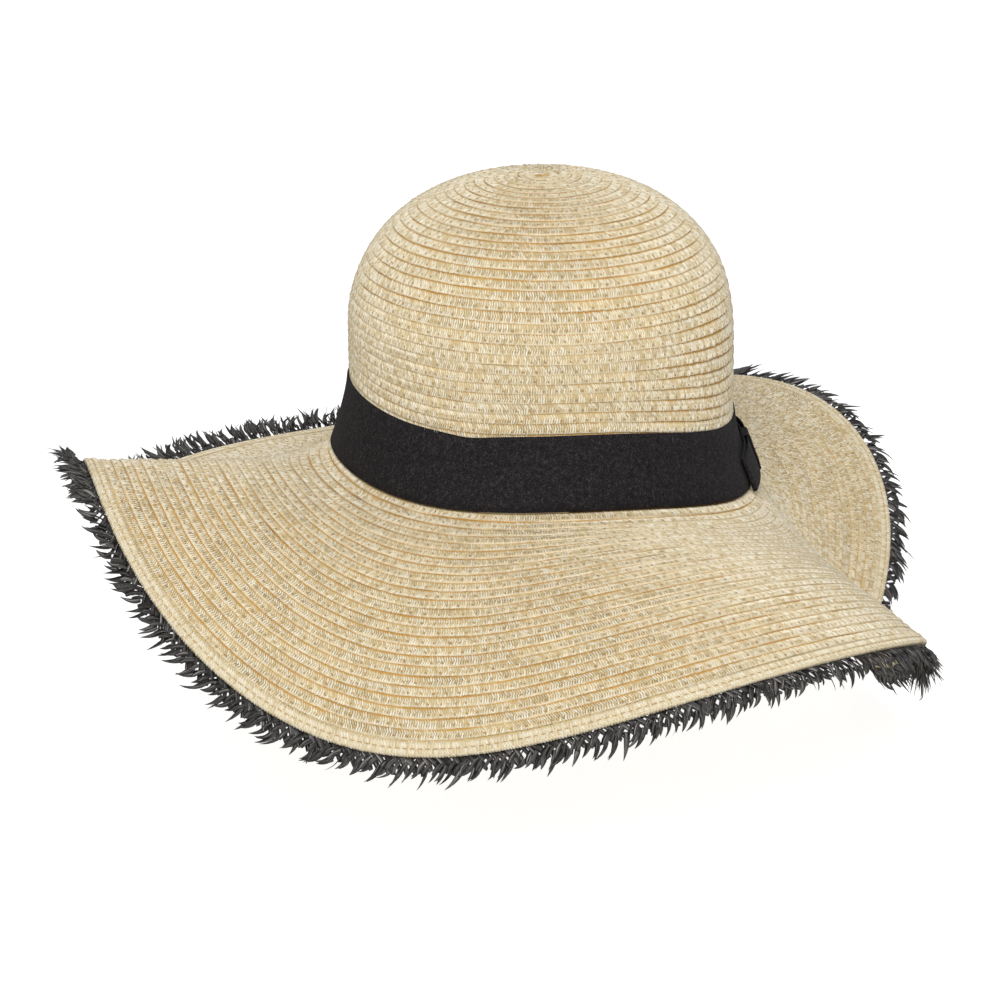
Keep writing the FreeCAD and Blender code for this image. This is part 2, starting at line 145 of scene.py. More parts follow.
def makeProfile():
    # meridian of the crown from the tip down: share of the oval, flare, height, length of straw
    dome, steps = crown["domeSteps"] + 1, crown["wallSteps"]
    wallTop = crown["height"] - crown["domeHeight"]
    lean = np.linspace(0, math.pi / 2, dome)
    power = 2 / crown["domePower"]
    z = wallTop + crown["domeHeight"] * np.maximum(np.cos(lean), 0) ** power
    wall = wallTop * (1 - np.arange(1, steps + 1) / steps)
    below = np.maximum(0, 1 - wall / crown["flareHeight"])
    share = np.append(np.sin(lean) ** power, np.ones(steps))
    flare = np.append(np.zeros(dome), crown["flare"] * below ** crown["flarePower"])
    z = np.append(z, wall)
    out = (crown["halfWidth"] + crown["halfDepth"]) / 2 * share + flare
    length = np.append(0, np.cumsum(np.hypot(np.diff(out), np.diff(z))))
    return {"share": share, "flare": flare, "z": z, "length": length}


profile = makeProfile()
crownLength = profile["length"][-1]


def heightToLength(height):
    return np.interp(-np.asarray(height, float), -profile["z"], profile["length"])


def crownSkin(length, angle):
    length, angle = np.broadcast_arrays(np.asarray(length, float), np.asarray(angle, float))
    share, flare, z = (np.interp(length, profile["length"], profile[name]) for name in ("share", "flare", "z"))
    out = ovalNormal(angle)
    x = crown["halfWidth"] * share * np.cos(angle) + out[..., 0] * flare
    y = crown["halfDepth"] * share * np.sin(angle) + out[..., 1] * flare
    fade = np.clip((z - crown["flareHeight"]) / (crown["waveFadeHeight"] - crown["flareHeight"]), 0, 1)
    keep = 1 - fade * fade * (3 - 2 * fade)
    return np.stack([x, y, z + wave(crown["headLine"], angle) * keep], axis=-1)


def crownNormal(length, angle):
    length = np.clip(length, probe["tip"], crownLength)
    ahead = np.minimum(length + probe["length"], crownLength)
    down = crownSkin(ahead, angle) - crownSkin(length - probe["length"], angle)
    along = crownSkin(length, angle + probe["angle"]) - crownSkin(length, angle - probe["angle"])
    return unit(np.cross(down, along))


def crownPoint(length, angle, lift=0.0):
    length = np.clip(length, 0.0, crownLength)
    return crownSkin(length, angle) + crownNormal(length, angle) * np.asarray(lift, float)[..., None]


def makeBrimTable():
    # one crease line of the brim per row, from the head line outwards in even steps
    count, step = brim["creases"], brim["tableStep"]
    angle = np.arange(count) * fullTurn / count
    start = crownSkin(np.full(count, crownLength), angle)
    out = ovalNormal(angle, crown["flare"])
    heading = np.arctan2(out[:, 1], out[:, 0])[:, None]
    root = (brim["rootSlope"] + brim["rootSlopeBack"] * np.sin(angle))[:, None]
    droop = (brim["droopMean"] + wave(brim["droop"], angle))[:, None]
    curl = (brim["curlMean"] + wave(brim["curl"], angle))[:, None]
    sweep = np.radians(brim["sweepMean"] + wave(brim["sweep"], angle))[:, None]
    s = ((np.arange(int(brim["tableLength"] / step)) + 0.5) * step)[None, :]
    settled = np.exp(-s / brim["rootFade"])
    fall = np.radians(droop + curl * (s / brim["length"] - 0.5) + (root - droop + curl / 2) * settled)
    course = heading + sweep * (1 - settled)
    flat = np.cos(fall) * step
    steps = np.stack([np.cos(course) * flat, np.sin(course) * flat, -np.sin(fall) * step], axis=-1)
    points = start[:, None, :] + np.concatenate([np.zeros((count, 1, 3)), np.cumsum(steps, axis=1)], axis=1)
    along = np.roll(points, -1, axis=0) - np.roll(points, 1, axis=0)
    normals = unit(np.cross(np.gradient(points, axis=1), along))
    return {"points": points, "normals": normals}


brimTable = makeBrimTable()


def fromBrimTable(name, s, angle):
    s, angle = np.broadcast_arrays(np.asarray(s, float), np.asarray(angle, float))
    values = brimTable[name]
    count = len(values)
    turn = angle / fullTurn * count
    place = np.clip(s / brim["tableStep"], 0, values.shape[1] - 1.001)
    i, j = np.floor(turn).astype(int), np.floor(place).astype(int)
    a, b = (turn - i)[..., None], (place - j)[..., None]
    i0, i1 = i % count, (i + 1) % count
    here = values[i0, j] * (1 - b) + values[i0, j + 1] * b
    beside = values[i1, j] * (1 - b) + values[i1, j + 1] * b
    return here * (1 - a) + beside * a


def brimNormal(s, angle):
    return unit(fromBrimTable("normals", s, angle))


def brimPoint(s, angle, lift=0.0):
    return fromBrimTable("points", s, angle) + brimNormal(s, angle) * np.asarray(lift, float)[..., None]


surfaces = {"crown": (crownPoint, crownNormal), "brim": (brimPoint, brimNormal)}
noiseReach = 1.6


def smoothNoise(length, spacing, size):
    # wandering value along a path, the same at every run
    knots = np.arange(0, length.max() + 3 * spacing, spacing)
    values = dice.uniform(-noiseReach, noiseReach, len(knots)) * size
    t = length / spacing
    i = np.clip(np.floor(t).astype(int), 0, len(knots) - 2)
    f = t - i
    f = f * f * (3 - 2 * f)
    return values[i] * (1 - f) + values[i + 1] * f


print(f"surfaces ready, crown {crownLength:.1f} mm along")


def newGroup(name, kind, inputs, outputs):
    # a socket holds a whole number, a number, or what its word says
    group = bpy.data.node_groups.new(name, kind)
    for label, value in inputs.items():
        form = value if isinstance(value, str) else type(value).__name__.capitalize()
        socket = group.interface.new_socket(label, in_out="INPUT", socket_type="NodeSocket" + form)
        if form != value:
            socket.default_value = value
    for label, form in outputs.items():
        group.interface.new_socket(label, in_out="OUTPUT", socket_type="NodeSocket" + form)
    return group, group.nodes.new("NodeGroupInput").outputs, group.nodes.new("NodeGroupOutput").inputs


def newTree(name, sizes):
    inputs = {"Geometry": "Geometry", **sizes, "Material": "Material"}
    return newGroup(name, "GeometryNodeTree", inputs, {"Geometry": "Geometry"})


def plug(tree, value, socket):
    # a node stands for its first output, and a plain value is set
    if isinstance(value, bpy.types.Node):
        value = value.outputs[0]
    if isinstance(value, bpy.types.NodeSocket):
        tree.links.new(value, socket)
    else:
        socket.default_value = value


def addNode(tree, kind, settings=None, **links):
    node = tree.nodes.new(kind)
    for name, value in (settings or {}).items():
        setattr(node, name, value)
    for name, value in links.items():
        plug(tree, value, node.inputs[int(name[1:]) if name[0] == "_" else name.replace("_", " ")])
    return node


def mathNode(tree, operation, first, second=0.0):
    return addNode(tree, "ShaderNodeMath", {"operation": operation}, _0=first, _1=second)


def namedValue(tree, name, kind="FLOAT"):
    return addNode(tree, "GeometryNodeInputNamedAttribute", {"data_type": kind}, Name=name)


def storeValue(tree, geometry, name, value):
    return addNode(tree, "GeometryNodeStoreNamedAttribute", Geometry=geometry, Name=name, Value=value)


def guidePath(tree, guide):
    path = addNode(tree, "GeometryNodeMeshToCurve", Mesh=guide)
    return addNode(tree, "GeometryNodeSetCurveNormal", {"mode": "FREE"}, Curve=path,
                   Normal=namedValue(tree, "facing", "FLOAT_VECTOR"))


def finishTree(tree, end, geometry, material):
    whole = addNode(tree, "GeometryNodeRealizeInstances", Geometry=geometry)
    smooth = addNode(tree, "GeometryNodeSetShadeSmooth", Geometry=whole)
    painted = addNode(tree, "GeometryNodeSetMaterial", Geometry=smooth, Material=material)
    plug(tree, painted, end[0])
    return tree


def guideMesh(name, points, edges=(), faces=(), **attributes):
    mesh = bpy.data.meshes.new(name)
    mesh.from_pydata((np.asarray(points) * mm).tolist(), [tuple(e) for e in edges], [tuple(f) for f in faces])
    for label, values in attributes.items():
        values = np.asarray(values, np.float32)
        kind, field = ("FLOAT_VECTOR", "vector") if values.ndim == 2 else ("FLOAT", "value")
        mesh.attributes.new(label, kind, "POINT").data.foreach_set(field, values.ravel())
    return mesh


def addPiece(name, mesh):
    mesh.name = name
    piece = bpy.data.objects.new(name, mesh)
    scene.collection.objects.link(piece)
    mesh.update()
    return piece


def grow(name, tree, mesh, values):
    # runs a tree on a guide and keeps the result as a plain mesh
    guide = addPiece(name + "Guide", mesh)
    modifier = guide.modifiers.new("grow", "NODES")
    modifier.node_group = tree
    for socket in tree.interface.items_tree:
        if socket.in_out == "INPUT" and socket.name in values:
            modifier[socket.identifier] = values[socket.name]
    shown = guide.evaluated_get(bpy.context.evaluated_depsgraph_get())
    result = bpy.data.meshes.new_from_object(shown)
    guide.modifiers.remove(modifier)
    bpy.data.objects.remove(guide)
    bpy.data.meshes.remove(mesh)
    return addPiece(name, result)


def settle(piece, slot, *nodes):
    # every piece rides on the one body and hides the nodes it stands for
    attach(piece, "root")
    if nodes:
        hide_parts(*nodes)
    piece.data.calc_loop_triangles()
    print(f"{piece.name}: {len(piece.data.loop_triangles)} triangles")
    return piece


def makeBraidTree():
    # a flat plait with rounded edges, tilted so that each row laps over the next
    tree, given, end = newTree("sewBraid", {
        "Width": 0.0063, "Thickness": 0.0009, "Edge Radius": 0.0004, "Tilt": 0.15, "Depth": 0.0009,
    })
    box = addNode(tree, "GeometryNodeCurvePrimitiveQuadrilateral", Width=given["Thickness"], Height=given["Width"])
    fine = addNode(tree, "GeometryNodeSubdivideCurve", Curve=box, Cuts=1)
    corner = addNode(tree, "GeometryNodeFilletCurve", {"mode": "POLY"}, Curve=fine, Count=1,
                     Radius=given["Edge Radius"])
    parts = addNode(tree, "ShaderNodeSeparateXYZ", Vector=addNode(tree, "GeometryNodeInputPosition"))
    across = storeValue(tree, corner, "across", mathNode(tree, "DIVIDE", parts.outputs["Y"], given["Width"]))
    side = storeValue(tree, across, "side", mathNode(tree, "DIVIDE", parts.outputs["X"], given["Thickness"]))
    turn = addNode(tree, "ShaderNodeCombineXYZ", Z=mathNode(tree, "MULTIPLY", given["Tilt"], -1.0))
    down = addNode(tree, "ShaderNodeCombineXYZ", X=mathNode(tree, "MULTIPLY", given["Depth"], -1.0))
    section = addNode(tree, "GeometryNodeTransform", Geometry=side, Translation=down, Rotation=turn)
    sweep = addNode(tree, "GeometryNodeCurveToMesh", Curve=guidePath(tree, given["Geometry"]),
                    Profile_Curve=section, Fill_Caps=True)
    return finishTree(tree, end, sweep, given["Material"])


def makeGrainTree():
    # one small tapered grain laid on every guide point: plait straws, stitches, tacks
    tree, given, end = newTree("layGrains", {
        "Length": 0.003, "Width": 0.001, "Height": 0.0003, "Taper": 0.6, "Corners": 3,
    })
    half = mathNode(tree, "MULTIPLY", given["Length"], 0.5)
    back = mathNode(tree, "MULTIPLY", half, -1.0)
    line = addNode(tree, "GeometryNodeCurvePrimitiveLine", Start=addNode(tree, "ShaderNodeCombineXYZ", Y=back),
                   End=addNode(tree, "ShaderNodeCombineXYZ", Y=half))
    three = addNode(tree, "GeometryNodeResampleCurve", Curve=line, Count=3)
    share = addNode(tree, "GeometryNodeSplineParameter").outputs["Factor"]
    off = mathNode(tree, "ABSOLUTE", mathNode(tree, "SUBTRACT", mathNode(tree, "MULTIPLY", share, 2.0), 1.0))
    radius = mathNode(tree, "SUBTRACT", 1.0, mathNode(tree, "MULTIPLY", off, given["Taper"]))
    face = addNode(tree, "GeometryNodeSetCurveNormal", {"mode": "FREE"}, Curve=three, Normal=(0, 0, 1))
    shape = addNode(tree, "GeometryNodeCurvePrimitiveCircle", Resolution=given["Corners"], Radius=1.0)
    wide = mathNode(tree, "MULTIPLY", given["Width"], 0.577)     # a triangle is wider than its radius
    scale = addNode(tree, "ShaderNodeCombineXYZ", X=given["Height"], Y=wide, Z=1.0)
    section = addNode(tree, "GeometryNodeTransform", Geometry=shape, Scale=scale)
    grain = addNode(tree, "GeometryNodeCurveToMesh", Curve=face, Profile_Curve=section, Scale=radius,
                    Fill_Caps=True)
    rotation = addNode(tree, "FunctionNodeAxesToRotation", {"primary_axis": "Z", "secondary_axis": "Y"},
                       Primary_Axis=namedValue(tree, "facing", "FLOAT_VECTOR"),
                       Secondary_Axis=namedValue(tree, "lengthwise", "FLOAT_VECTOR"))
    laid = addNode(tree, "GeometryNodeInstanceOnPoints", Points=given["Geometry"], Instance=grain,
                   Rotation=rotation, Scale=namedValue(tree, "size", "FLOAT_VECTOR"))
    return finishTree(tree, end, laid, given["Material"])


def makeStrandTree():
    # flat strips of raffia or thread drawn along guide lines, thick as each guide point says
    tree, given, end = newTree("drawStrands", {"Width": 0.002, "Thickness": 0.0005, "Corners": 4})
    share = addNode(tree, "GeometryNodeSplineParameter").outputs["Length"]
    along = storeValue(tree, guidePath(tree, given["Geometry"]), "along", share)
    circle = addNode(tree, "GeometryNodeCurvePrimitiveCircle", Resolution=given["Corners"], Radius=0.5)
    turned = addNode(tree, "GeometryNodeSplineParameter").outputs["Factor"]
    around = storeValue(tree, circle, "around", turned)
    scale = addNode(tree, "ShaderNodeCombineXYZ", X=given["Thickness"], Y=given["Width"], Z=1.0)
    section = addNode(tree, "GeometryNodeTransform", Geometry=around, Scale=scale)
    strand = addNode(tree, "GeometryNodeCurveToMesh", Curve=along, Profile_Curve=section,
                     Scale=namedValue(tree, "girth"), Fill_Caps=True)
    return finishTree(tree, end, strand, given["Material"])


def makeRibTree():
    # raises the fine ribs of grosgrain on a woven band
    tree, given, end = newTree("raiseRibs", {"Pitch": 0.6, "Height": 0.00005})
    along = mathNode(tree, "MULTIPLY", namedValue(tree, "along"), fullTurn)
    turns = mathNode(tree, "DIVIDE", along, given["Pitch"])
    rise = mathNode(tree, "MULTIPLY", mathNode(tree, "COSINE", turns), given["Height"])
    rise = mathNode(tree, "MULTIPLY", rise, namedValue(tree, "ribbed"))
    offset = addNode(tree, "ShaderNodeVectorMath", {"operation": "SCALE"},
                     _0=namedValue(tree, "facing", "FLOAT_VECTOR"), Scale=rise)
    raised = addNode(tree, "GeometryNodeSetPosition", Geometry=given["Geometry"], Offset=offset)
    return finishTree(tree, end, raised, given["Material"])


braidTree = makeBraidTree()
grainTree = makeGrainTree()
strandTree = makeStrandTree()
ribTree = makeRibTree()
print("node trees ready")


def makeFibreGroup():
    # drifting tone in patches and fine fibres, for straw, cloth and metal
    group, given, end = newGroup("fibreTone", "ShaderNodeTree", {
        "Patch Scale": 60.0, "Fibre Scale": 900.0, "Patch Amount": 0.5,
    }, {"Tone": "Float", "Fibre": "Float"})
    where = addNode(group, "ShaderNodeTexCoord").outputs["Object"]
    patch = addNode(group, "ShaderNodeTexNoise", Vector=where, Scale=given["Patch Scale"], Detail=2.0)
    fibre = addNode(group, "ShaderNodeTexNoise", Vector=where, Scale=given["Fibre Scale"], Detail=3.0)
    tone = addNode(group, "ShaderNodeMix", {"data_type": "FLOAT"}, _0=given["Patch Amount"], _2=fibre, _3=patch)
    plug(group, tone, end["Tone"])
    plug(group, fibre, end["Fibre"])
    return group


fibreTone = makeFibreGroup()


def colour(red, green, blue):
    # a swatch as sRGB 0-255, made linear
    linear = [(c / 255 / 12.92) if c < 10 else ((c / 255 + 0.055) / 1.055) ** 2.4 for c in (red, green, blue)]
    return (*linear, 1.0)


def newMaterial(name, roughness, sheen=0.0, metallic=0.0, specular=0.5):
    material = bpy.data.materials.new(name)
    material.use_nodes = True
    shader = material.node_tree.nodes["Principled BSDF"]
    shader.inputs["Roughness"].default_value = roughness
    shader.inputs["Sheen Weight"].default_value = sheen
    shader.inputs["Metallic"].default_value = metallic
    shader.inputs["Specular IOR Level"].default_value = specular
    return material, material.node_tree, shader


def fibreNode(tree, patch, fibre, amount):
    node = addNode(tree, "ShaderNodeGroup", {"node_tree": fibreTone})
    for name, value in (("Patch Scale", patch), ("Fibre Scale", fibre), ("Patch Amount", amount)):
        node.inputs[name].default_value = value
    return node


def ramp(tree, value, stops):
    node = addNode(tree, "ShaderNodeValToRGB", Fac=value)
    elements = node.color_ramp.elements
    while len(elements) < len(stops):
        elements.new(0.5)
    for element, (place, swatch) in zip(elements, stops):
        element.position = place
        element.color = colour(*swatch)
    return node


def mixColour(tree, factor, first, second):
    node = addNode(tree, "ShaderNodeMix", {"data_type": "RGBA"}, _0=factor, _6=first, _7=second)
    return node.outputs[2]


def attributeValue(tree, name):
    return addNode(tree, "ShaderNodeAttribute", {"attribute_name": name}).outputs["Fac"]


def addBump(tree, shader, height, strength, distance):
    plug(tree, addNode(tree, "ShaderNodeBump", Height=height, Strength=strength, Distance=distance),
         shader.inputs["Normal"])


def makeFibrous(name, stops, grain, bump, roughness, **finish):
    # grain: patch scale, fibre scale, share of patches; bump: strength and depth in metres
    material, tree, shader = newMaterial(name, roughness, **finish)
    fibre = fibreNode(tree, *grain)
    plug(tree, ramp(tree, fibre.outputs["Tone"], stops), shader.inputs["Base Color"])
    addBump(tree, shader, fibre.outputs["Fibre"], *bump)
    return material


def makeThread(name, light, dark):
    stops = [(0.3, dark), (0.7, light)]
    return makeFibrous(name, stops, (300.0, 4000.0, 0.4), (0.5, 0.0001), 0.6, sheen=0.2)


def makeGrosgrain(name, light, dark, lint, sheen):
    # woven ribbon: a matte surface and specks of lint
    stops = [(0.38, dark), (0.56, light), (0.7, lint)]
    return makeFibrous(name, stops, (500.0, 1500.0, 0.3), (0.6, 0.0003), 0.85, sheen=sheen, specular=0.12)


def makeMetal(name, light, dark, roughness):
    stops = [(0.35, dark), (0.65, light)]
    return makeFibrous(name, stops, (120.0, 3000.0, 0.5), (0.2, 0.0001), roughness, metallic=1.0)


straw = {
    "pale": (233, 218, 184),
    "bright": (249, 242, 222),
    "deep": (215, 196, 154),
    # painted shade in the gaps between the straws
    "gap": (216, 190, 136),
    # painted shadow that each row casts under its lap
    "shade": (208, 162, 86),
    "lap": 0.32,             # share of a row's width that the row above covers
    "lowEdge": 0.9,          # and where its pale lower edge starts
    "underside": -0.2,       # share of its thickness below which it is the underside
    "ownTone": 0.6,          # how much of a straw's tone is its own
}


def makeStrawBraid():
    # the plait's ground: painted shade between the straws and a painted shadow line under each lap, pale along each
    # row's lower edge
    material, tree, shader = newMaterial("strawBraid", roughness=0.6, specular=0.3)
    fibre = fibreNode(tree, 70.0, 1400.0, 0.2)
    body = ramp(tree, fibre.outputs["Tone"], [(0.3, straw["deep"]), (0.5, straw["pale"]), (0.72, straw["bright"])])
    place = mathNode(tree, "ADD", attributeValue(tree, "across"), 0.5)
    # painted shadow under the lap, then painted shade between the straws, then the pale lower edge
    ground = ramp(tree, place, [(straw["lap"], straw["shade"]), (0.37, straw["gap"]), (0.8, straw["gap"]),
                                (straw["lowEdge"], straw["pale"])])
    low = mathNode(tree, "GREATER_THAN", place, straw["lowEdge"])
    under = mathNode(tree, "LESS_THAN", attributeValue(tree, "side"), straw["underside"])
    shade = mixColour(tree, mathNode(tree, "MAXIMUM", low, under), ground, body)
    plug(tree, shade, shader.inputs["Base Color"])
    addBump(tree, shader, fibre.outputs["Fibre"], 0.5, 0.0003)
    return material


def makeStrawPlait():
    # the straws of the plait, each a little different
    material, tree, shader = newMaterial("strawPlait", roughness=0.5, specular=0.35)
    fibre = fibreNode(tree, 60.0, 1800.0, 0.12)
    own = mathNode(tree, "MULTIPLY", attributeValue(tree, "tone"), straw["ownTone"])
    tone = mathNode(tree, "ADD", own, mathNode(tree, "MULTIPLY", fibre.outputs["Tone"], 1 - straw["ownTone"]))
    shade = ramp(tree, tone, [(0.22, straw["deep"]), (0.42, straw["pale"]), (0.72, straw["bright"])])
    plug(tree, shade, shader.inputs["Base Color"])
    addBump(tree, shader, fibre.outputs["Fibre"], 0.4, 0.0002)
    return material


raffia = {
    "streaks": (60.0, 9.0, 50.0),    # per metre of strand, round it, and from one strand to the next
    "streakScale": 1.4,
    # dark tone that drifts at random, rising to painted grey highlights
    "toneAndHighlights": [(0.38, (11, 10, 10)), (0.49, (36, 33, 33)), (0.56, (98, 94, 92)), (0.65, (178, 173, 170))],
    # painted shade at each strand's sides
    "edge": (4, 4, 4),
    "faceLight": (0.3, 0.7),         # swing and middle of the painted light from a strand's shaded edge to its lit face
    "gloss": (0.28, 0.6),
}


def makeRaffia():
    # black raffia: dull, with painted grey highlight streaks along its length and painted shade along each strand's
    # edges
    material, tree, shader = newMaterial("blackRaffia", roughness=0.4, specular=0.6)
    where = addNode(tree, "ShaderNodeCombineXYZ", **{
        axis: mathNode(tree, "MULTIPLY", attributeValue(tree, name), times)
        for axis, name, times in zip("XYZ", ("along", "around", "tone"), raffia["streaks"])})
    streaks = addNode(tree, "ShaderNodeTexNoise", Vector=where, Scale=raffia["streakScale"], Detail=3.0)
    # painted light: each strand's face lighter, its sides darker
    turned = mathNode(tree, "MULTIPLY", attributeValue(tree, "around"), 2 * fullTurn)
    swing, middle = raffia["faceLight"]
    face = mathNode(tree, "ADD", mathNode(tree, "MULTIPLY", mathNode(tree, "COSINE", turned), swing), middle)
    shade = mixColour(tree, face, colour(*raffia["edge"]), ramp(tree, streaks, raffia["toneAndHighlights"]))
    plug(tree, shade, shader.inputs["Base Color"])
    smooth, rough = raffia["gloss"]
    gloss = addNode(tree, "ShaderNodeMapRange", _0=streaks, _1=0.3, _2=0.7, _3=smooth, _4=rough)
    plug(tree, gloss, shader.inputs["Roughness"])
    addBump(tree, shader, streaks, 0.8, 0.0005)
    return material


strawBraid = makeStrawBraid()
strawPlait = makeStrawPlait()
# tan thread, darkened partly by painted shade of the needle holes it sits in
shadedStrawThread = makeThread("shadedStrawThread", (204, 173, 120), (172, 136, 80))
blackThread = makeThread("blackThread", (44, 42, 44), (20, 19, 21))
blackRaffia = makeRaffia()
blackGrosgrain = makeGrosgrain("blackGrosgrain", (42, 39, 41), (20, 18, 20), (72, 68, 70), 0.02)
sweatbandCotton = makeGrosgrain("sweatbandCotton", (232, 224, 206), (204, 192, 166), (244, 238, 224), 0.1)
labelTape = makeGrosgrain("labelTape", (240, 238, 230), (222, 218, 206), (250, 248, 242), 0.1)
looseThread = makeThread("looseThread", (214, 208, 200), (150, 144, 138))
springWire = makeMetal("springWire", (190, 190, 192), (140, 140, 145), 0.35)
crimpMetal = makeMetal("crimpMetal", (205, 205, 208), (160, 160, 165), 0.45)
print("materials ready")

braid = {
    "pitch": 4.9,            # one row to the next
    "width": 6.3,            # with the part under the lap
    "thickness": 0.9,
    "edge": 0.36,
    "tilt": 0.13,            # radians
    "depth": 0.95,           # middle of the braid below the surface
    "step": 4.2,             # along the braid
    "stray": [(17, 0.16), (6, 0.08)],    # spacing and size of a row's wander
    "heave": (11, 0.04),     # and of its lift
    "duckShare": 0.15,       # how far a row still runs out under what covers it
    "duckSlope": 0.13,
    "duckReach": 5,
}
plait = {
    "pitch": 1.1,            # one straw to the next
    "stray": (17, 0.16),     # spacing and size of their shared wander
    "swing": (45, 0.35),     # and of their slant's drift
    "shift": 0.1,            # how much each one strays and leans by itself
    "swingEach": 0.25,
    "spread": np.array([0.12, 0.1, 0.28]),
    "tuck": 1.2,             # how far the straws run in under the hem
    "width": 1.1, "height": 0.34, "taper": 0.5, "corners": 3, "material": strawPlait,
    "layers": {
        "upper": {"start": 0.62, "span": 2.2, "length": 2.7, "slant": 0.75, "lift": (-0.58, -0.24)},
        "lower": {"start": 2.5, "span": 2.2, "length": 2.5, "slant": -0.55, "lift": (-0.2, -0.03)},
    },
}
seam = {
    "pitch": 5.7,            # one stitch to the next
    "place": 3.1,            # down from the row's upper edge
    "shift": 0.002,          # radians
    "spread": 0.15,
    "slant": (0.7, 0.2),
    "span": 0.9, "lift": (0.14, 0.18),
    "length": 1.1, "width": 0.8, "height": 0.16, "taper": 0.4, "corners": 4, "material": shadedStrawThread,
}
spiralTip = {"finest": 0.5, "share": 0.26}     # the steps get shorter near the crown's tip
turnSteps = 240
nudge = 0.002                # radians


def spiral(surface, first, last, step):
    # even steps along a spiral: place from the start, angle, running length
    turns = np.arange(first / braid["pitch"], last / braid["pitch"], 1 / turnSteps)
    places, angles = turns * braid["pitch"], turns * fullTurn
    xyz = surfaces[surface][0](places, angles)
    parts = np.linalg.norm(np.diff(xyz, axis=0), axis=1)
    radius = np.hypot(xyz[1:, 0], xyz[1:, 1])
    longest = np.minimum(step, np.maximum(spiralTip["finest"], radius * spiralTip["share"]))
    count = np.append(0, np.cumsum(parts / longest))
    length = np.append(0, np.cumsum(parts))
    at = np.arange(0, count[-1])
    return np.interp(at, count, places), np.interp(at, count, angles), np.interp(at, count, length)


def sewBraid(name, surface, first, last, node, deepest=999.0):
    # past deepest the row runs out under what covers it
    point, normal = surfaces[surface]
    places, angles, lengths = spiral(surface, first, last, braid["step"])
    middle = places + braid["pitch"] - braid["width"] / 2
    for spacing, size in braid["stray"]:
        middle = middle + smoothNoise(lengths, spacing, size)
    over = np.maximum(0, middle - deepest)
    middle = np.minimum(middle, deepest + braid["duckShare"] * over)
    lift = smoothNoise(lengths, *braid["heave"]) - braid["duckSlope"] * np.minimum(over, braid["duckReach"])
    xyz = point(middle, angles, lift)
    guide = guideMesh(name, xyz, edges=[(i, i + 1) for i in range(len(xyz) - 1)], facing=normal(middle, angles))
    piece = grow(name, braidTree, guide, {
        "Width": braid["width"] * mm, "Thickness": braid["thickness"] * mm, "Edge Radius": braid["edge"] * mm,
        "Tilt": braid["tilt"], "Depth": braid["depth"] * mm, "Material": strawBraid,
    })
    settle(piece, "straw_braid", node)


def growGrains(name, look, slot, nodes, middle, **attributes):
    guide = guideMesh(name, middle, **attributes)
    piece = grow(name, grainTree, guide, {
        "Length": look["length"] * mm, "Width": look["width"] * mm, "Height": look["height"] * mm,
        "Taper": look["taper"], "Corners": look["corners"], "Material": look["material"],
    })
    return settle(piece, slot, *nodes)


def layGrains(name, surface, places, angles, slant, sizes, look, slot, *nodes):
    # grains that run across a row, from place to place + span, slanted sideways by slant
    point, normal = surfaces[surface]
    middle = places + look["span"] / 2
    turned = np.linalg.norm(point(middle, angles + nudge) - point(middle, angles), axis=1)
    perMm = nudge / np.maximum(turned, 1e-4)
    near = point(places, angles - slant / 2 * perMm, np.full_like(places, look["lift"][0]))
    far = point(places + look["span"], angles + slant / 2 * perMm, np.full_like(places, look["lift"][1]))
    lengthwise = unit(far - near)
    side = np.cross(lengthwise, normal(middle, angles))
    return growGrains(name, look, slot, nodes, (near + far) / 2, facing=unit(np.cross(side, lengthwise)),
                      lengthwise=lengthwise, size=sizes, tone=dice.random(len(places)))


def layStitches(name, surface, places, angles, look, slot, node, upright=False):
    # separate stitches on a surface, along it or upright; below it where the lift is negative
    point, normal = surfaces[surface]
    count = len(angles)
    lift = np.full(count, look["lift"])
    middle = point(places, angles, lift)
    ahead = point(places - 0.5, angles, lift) if upright else point(places, angles + 0.005, lift)
    facing = normal(places, angles) * (1 if look["lift"] > 0 else -1)
    size = 1 + dice.normal(0, look["spread"], (count, 3)) if look["spread"] else np.ones((count, 3))
    return growGrains(name, look, slot, [node], middle, facing=facing, lengthwise=unit(ahead - middle), size=size,
                      tone=dice.random(count))


def layPlait(name, surface, first, last, layer):
    # one of the plait's two layers of slanting straws
    look = {**plait, **plait["layers"][layer]}
    places, angles, lengths = spiral(surface, first, last, plait["pitch"])
    middle = places + look["start"] + look["span"] / 2
    shown = (middle > 0) & ((surface == "crown") | (middle < hemStart + plait["tuck"]))
    places, angles, lengths = places[shown], angles[shown], lengths[shown]
    count = len(places)
    places = places + smoothNoise(lengths, *plait["stray"]) + dice.normal(0, plait["shift"], count)
    slant = look["slant"] + smoothNoise(lengths, *plait["swing"]) + dice.normal(0, plait["swingEach"], count)
    sizes = 1 + dice.normal(0, 1, (count, 3)) * plait["spread"]
    layGrains(name, surface, places + look["start"], angles, slant, sizes, look, "straw_braid")


def laySeam(name, surface, first, last, node):
    # the needle's short stitches, seen as small dents along each row, their tan partly the thread's own colour and
    # partly painted shade of the needle holes
    places, angles, lengths = spiral(surface, first, last, seam["pitch"])
    count = len(angles)
    angles = angles + dice.normal(0, seam["shift"], count)
    sizes = 1 + dice.normal(0, seam["spread"], (count, 3))
    slant = seam["slant"][0] + dice.normal(0, seam["slant"][1], count)
    layGrains(name, surface, places + seam["place"], angles, slant, sizes, seam, "straw_thread", node)


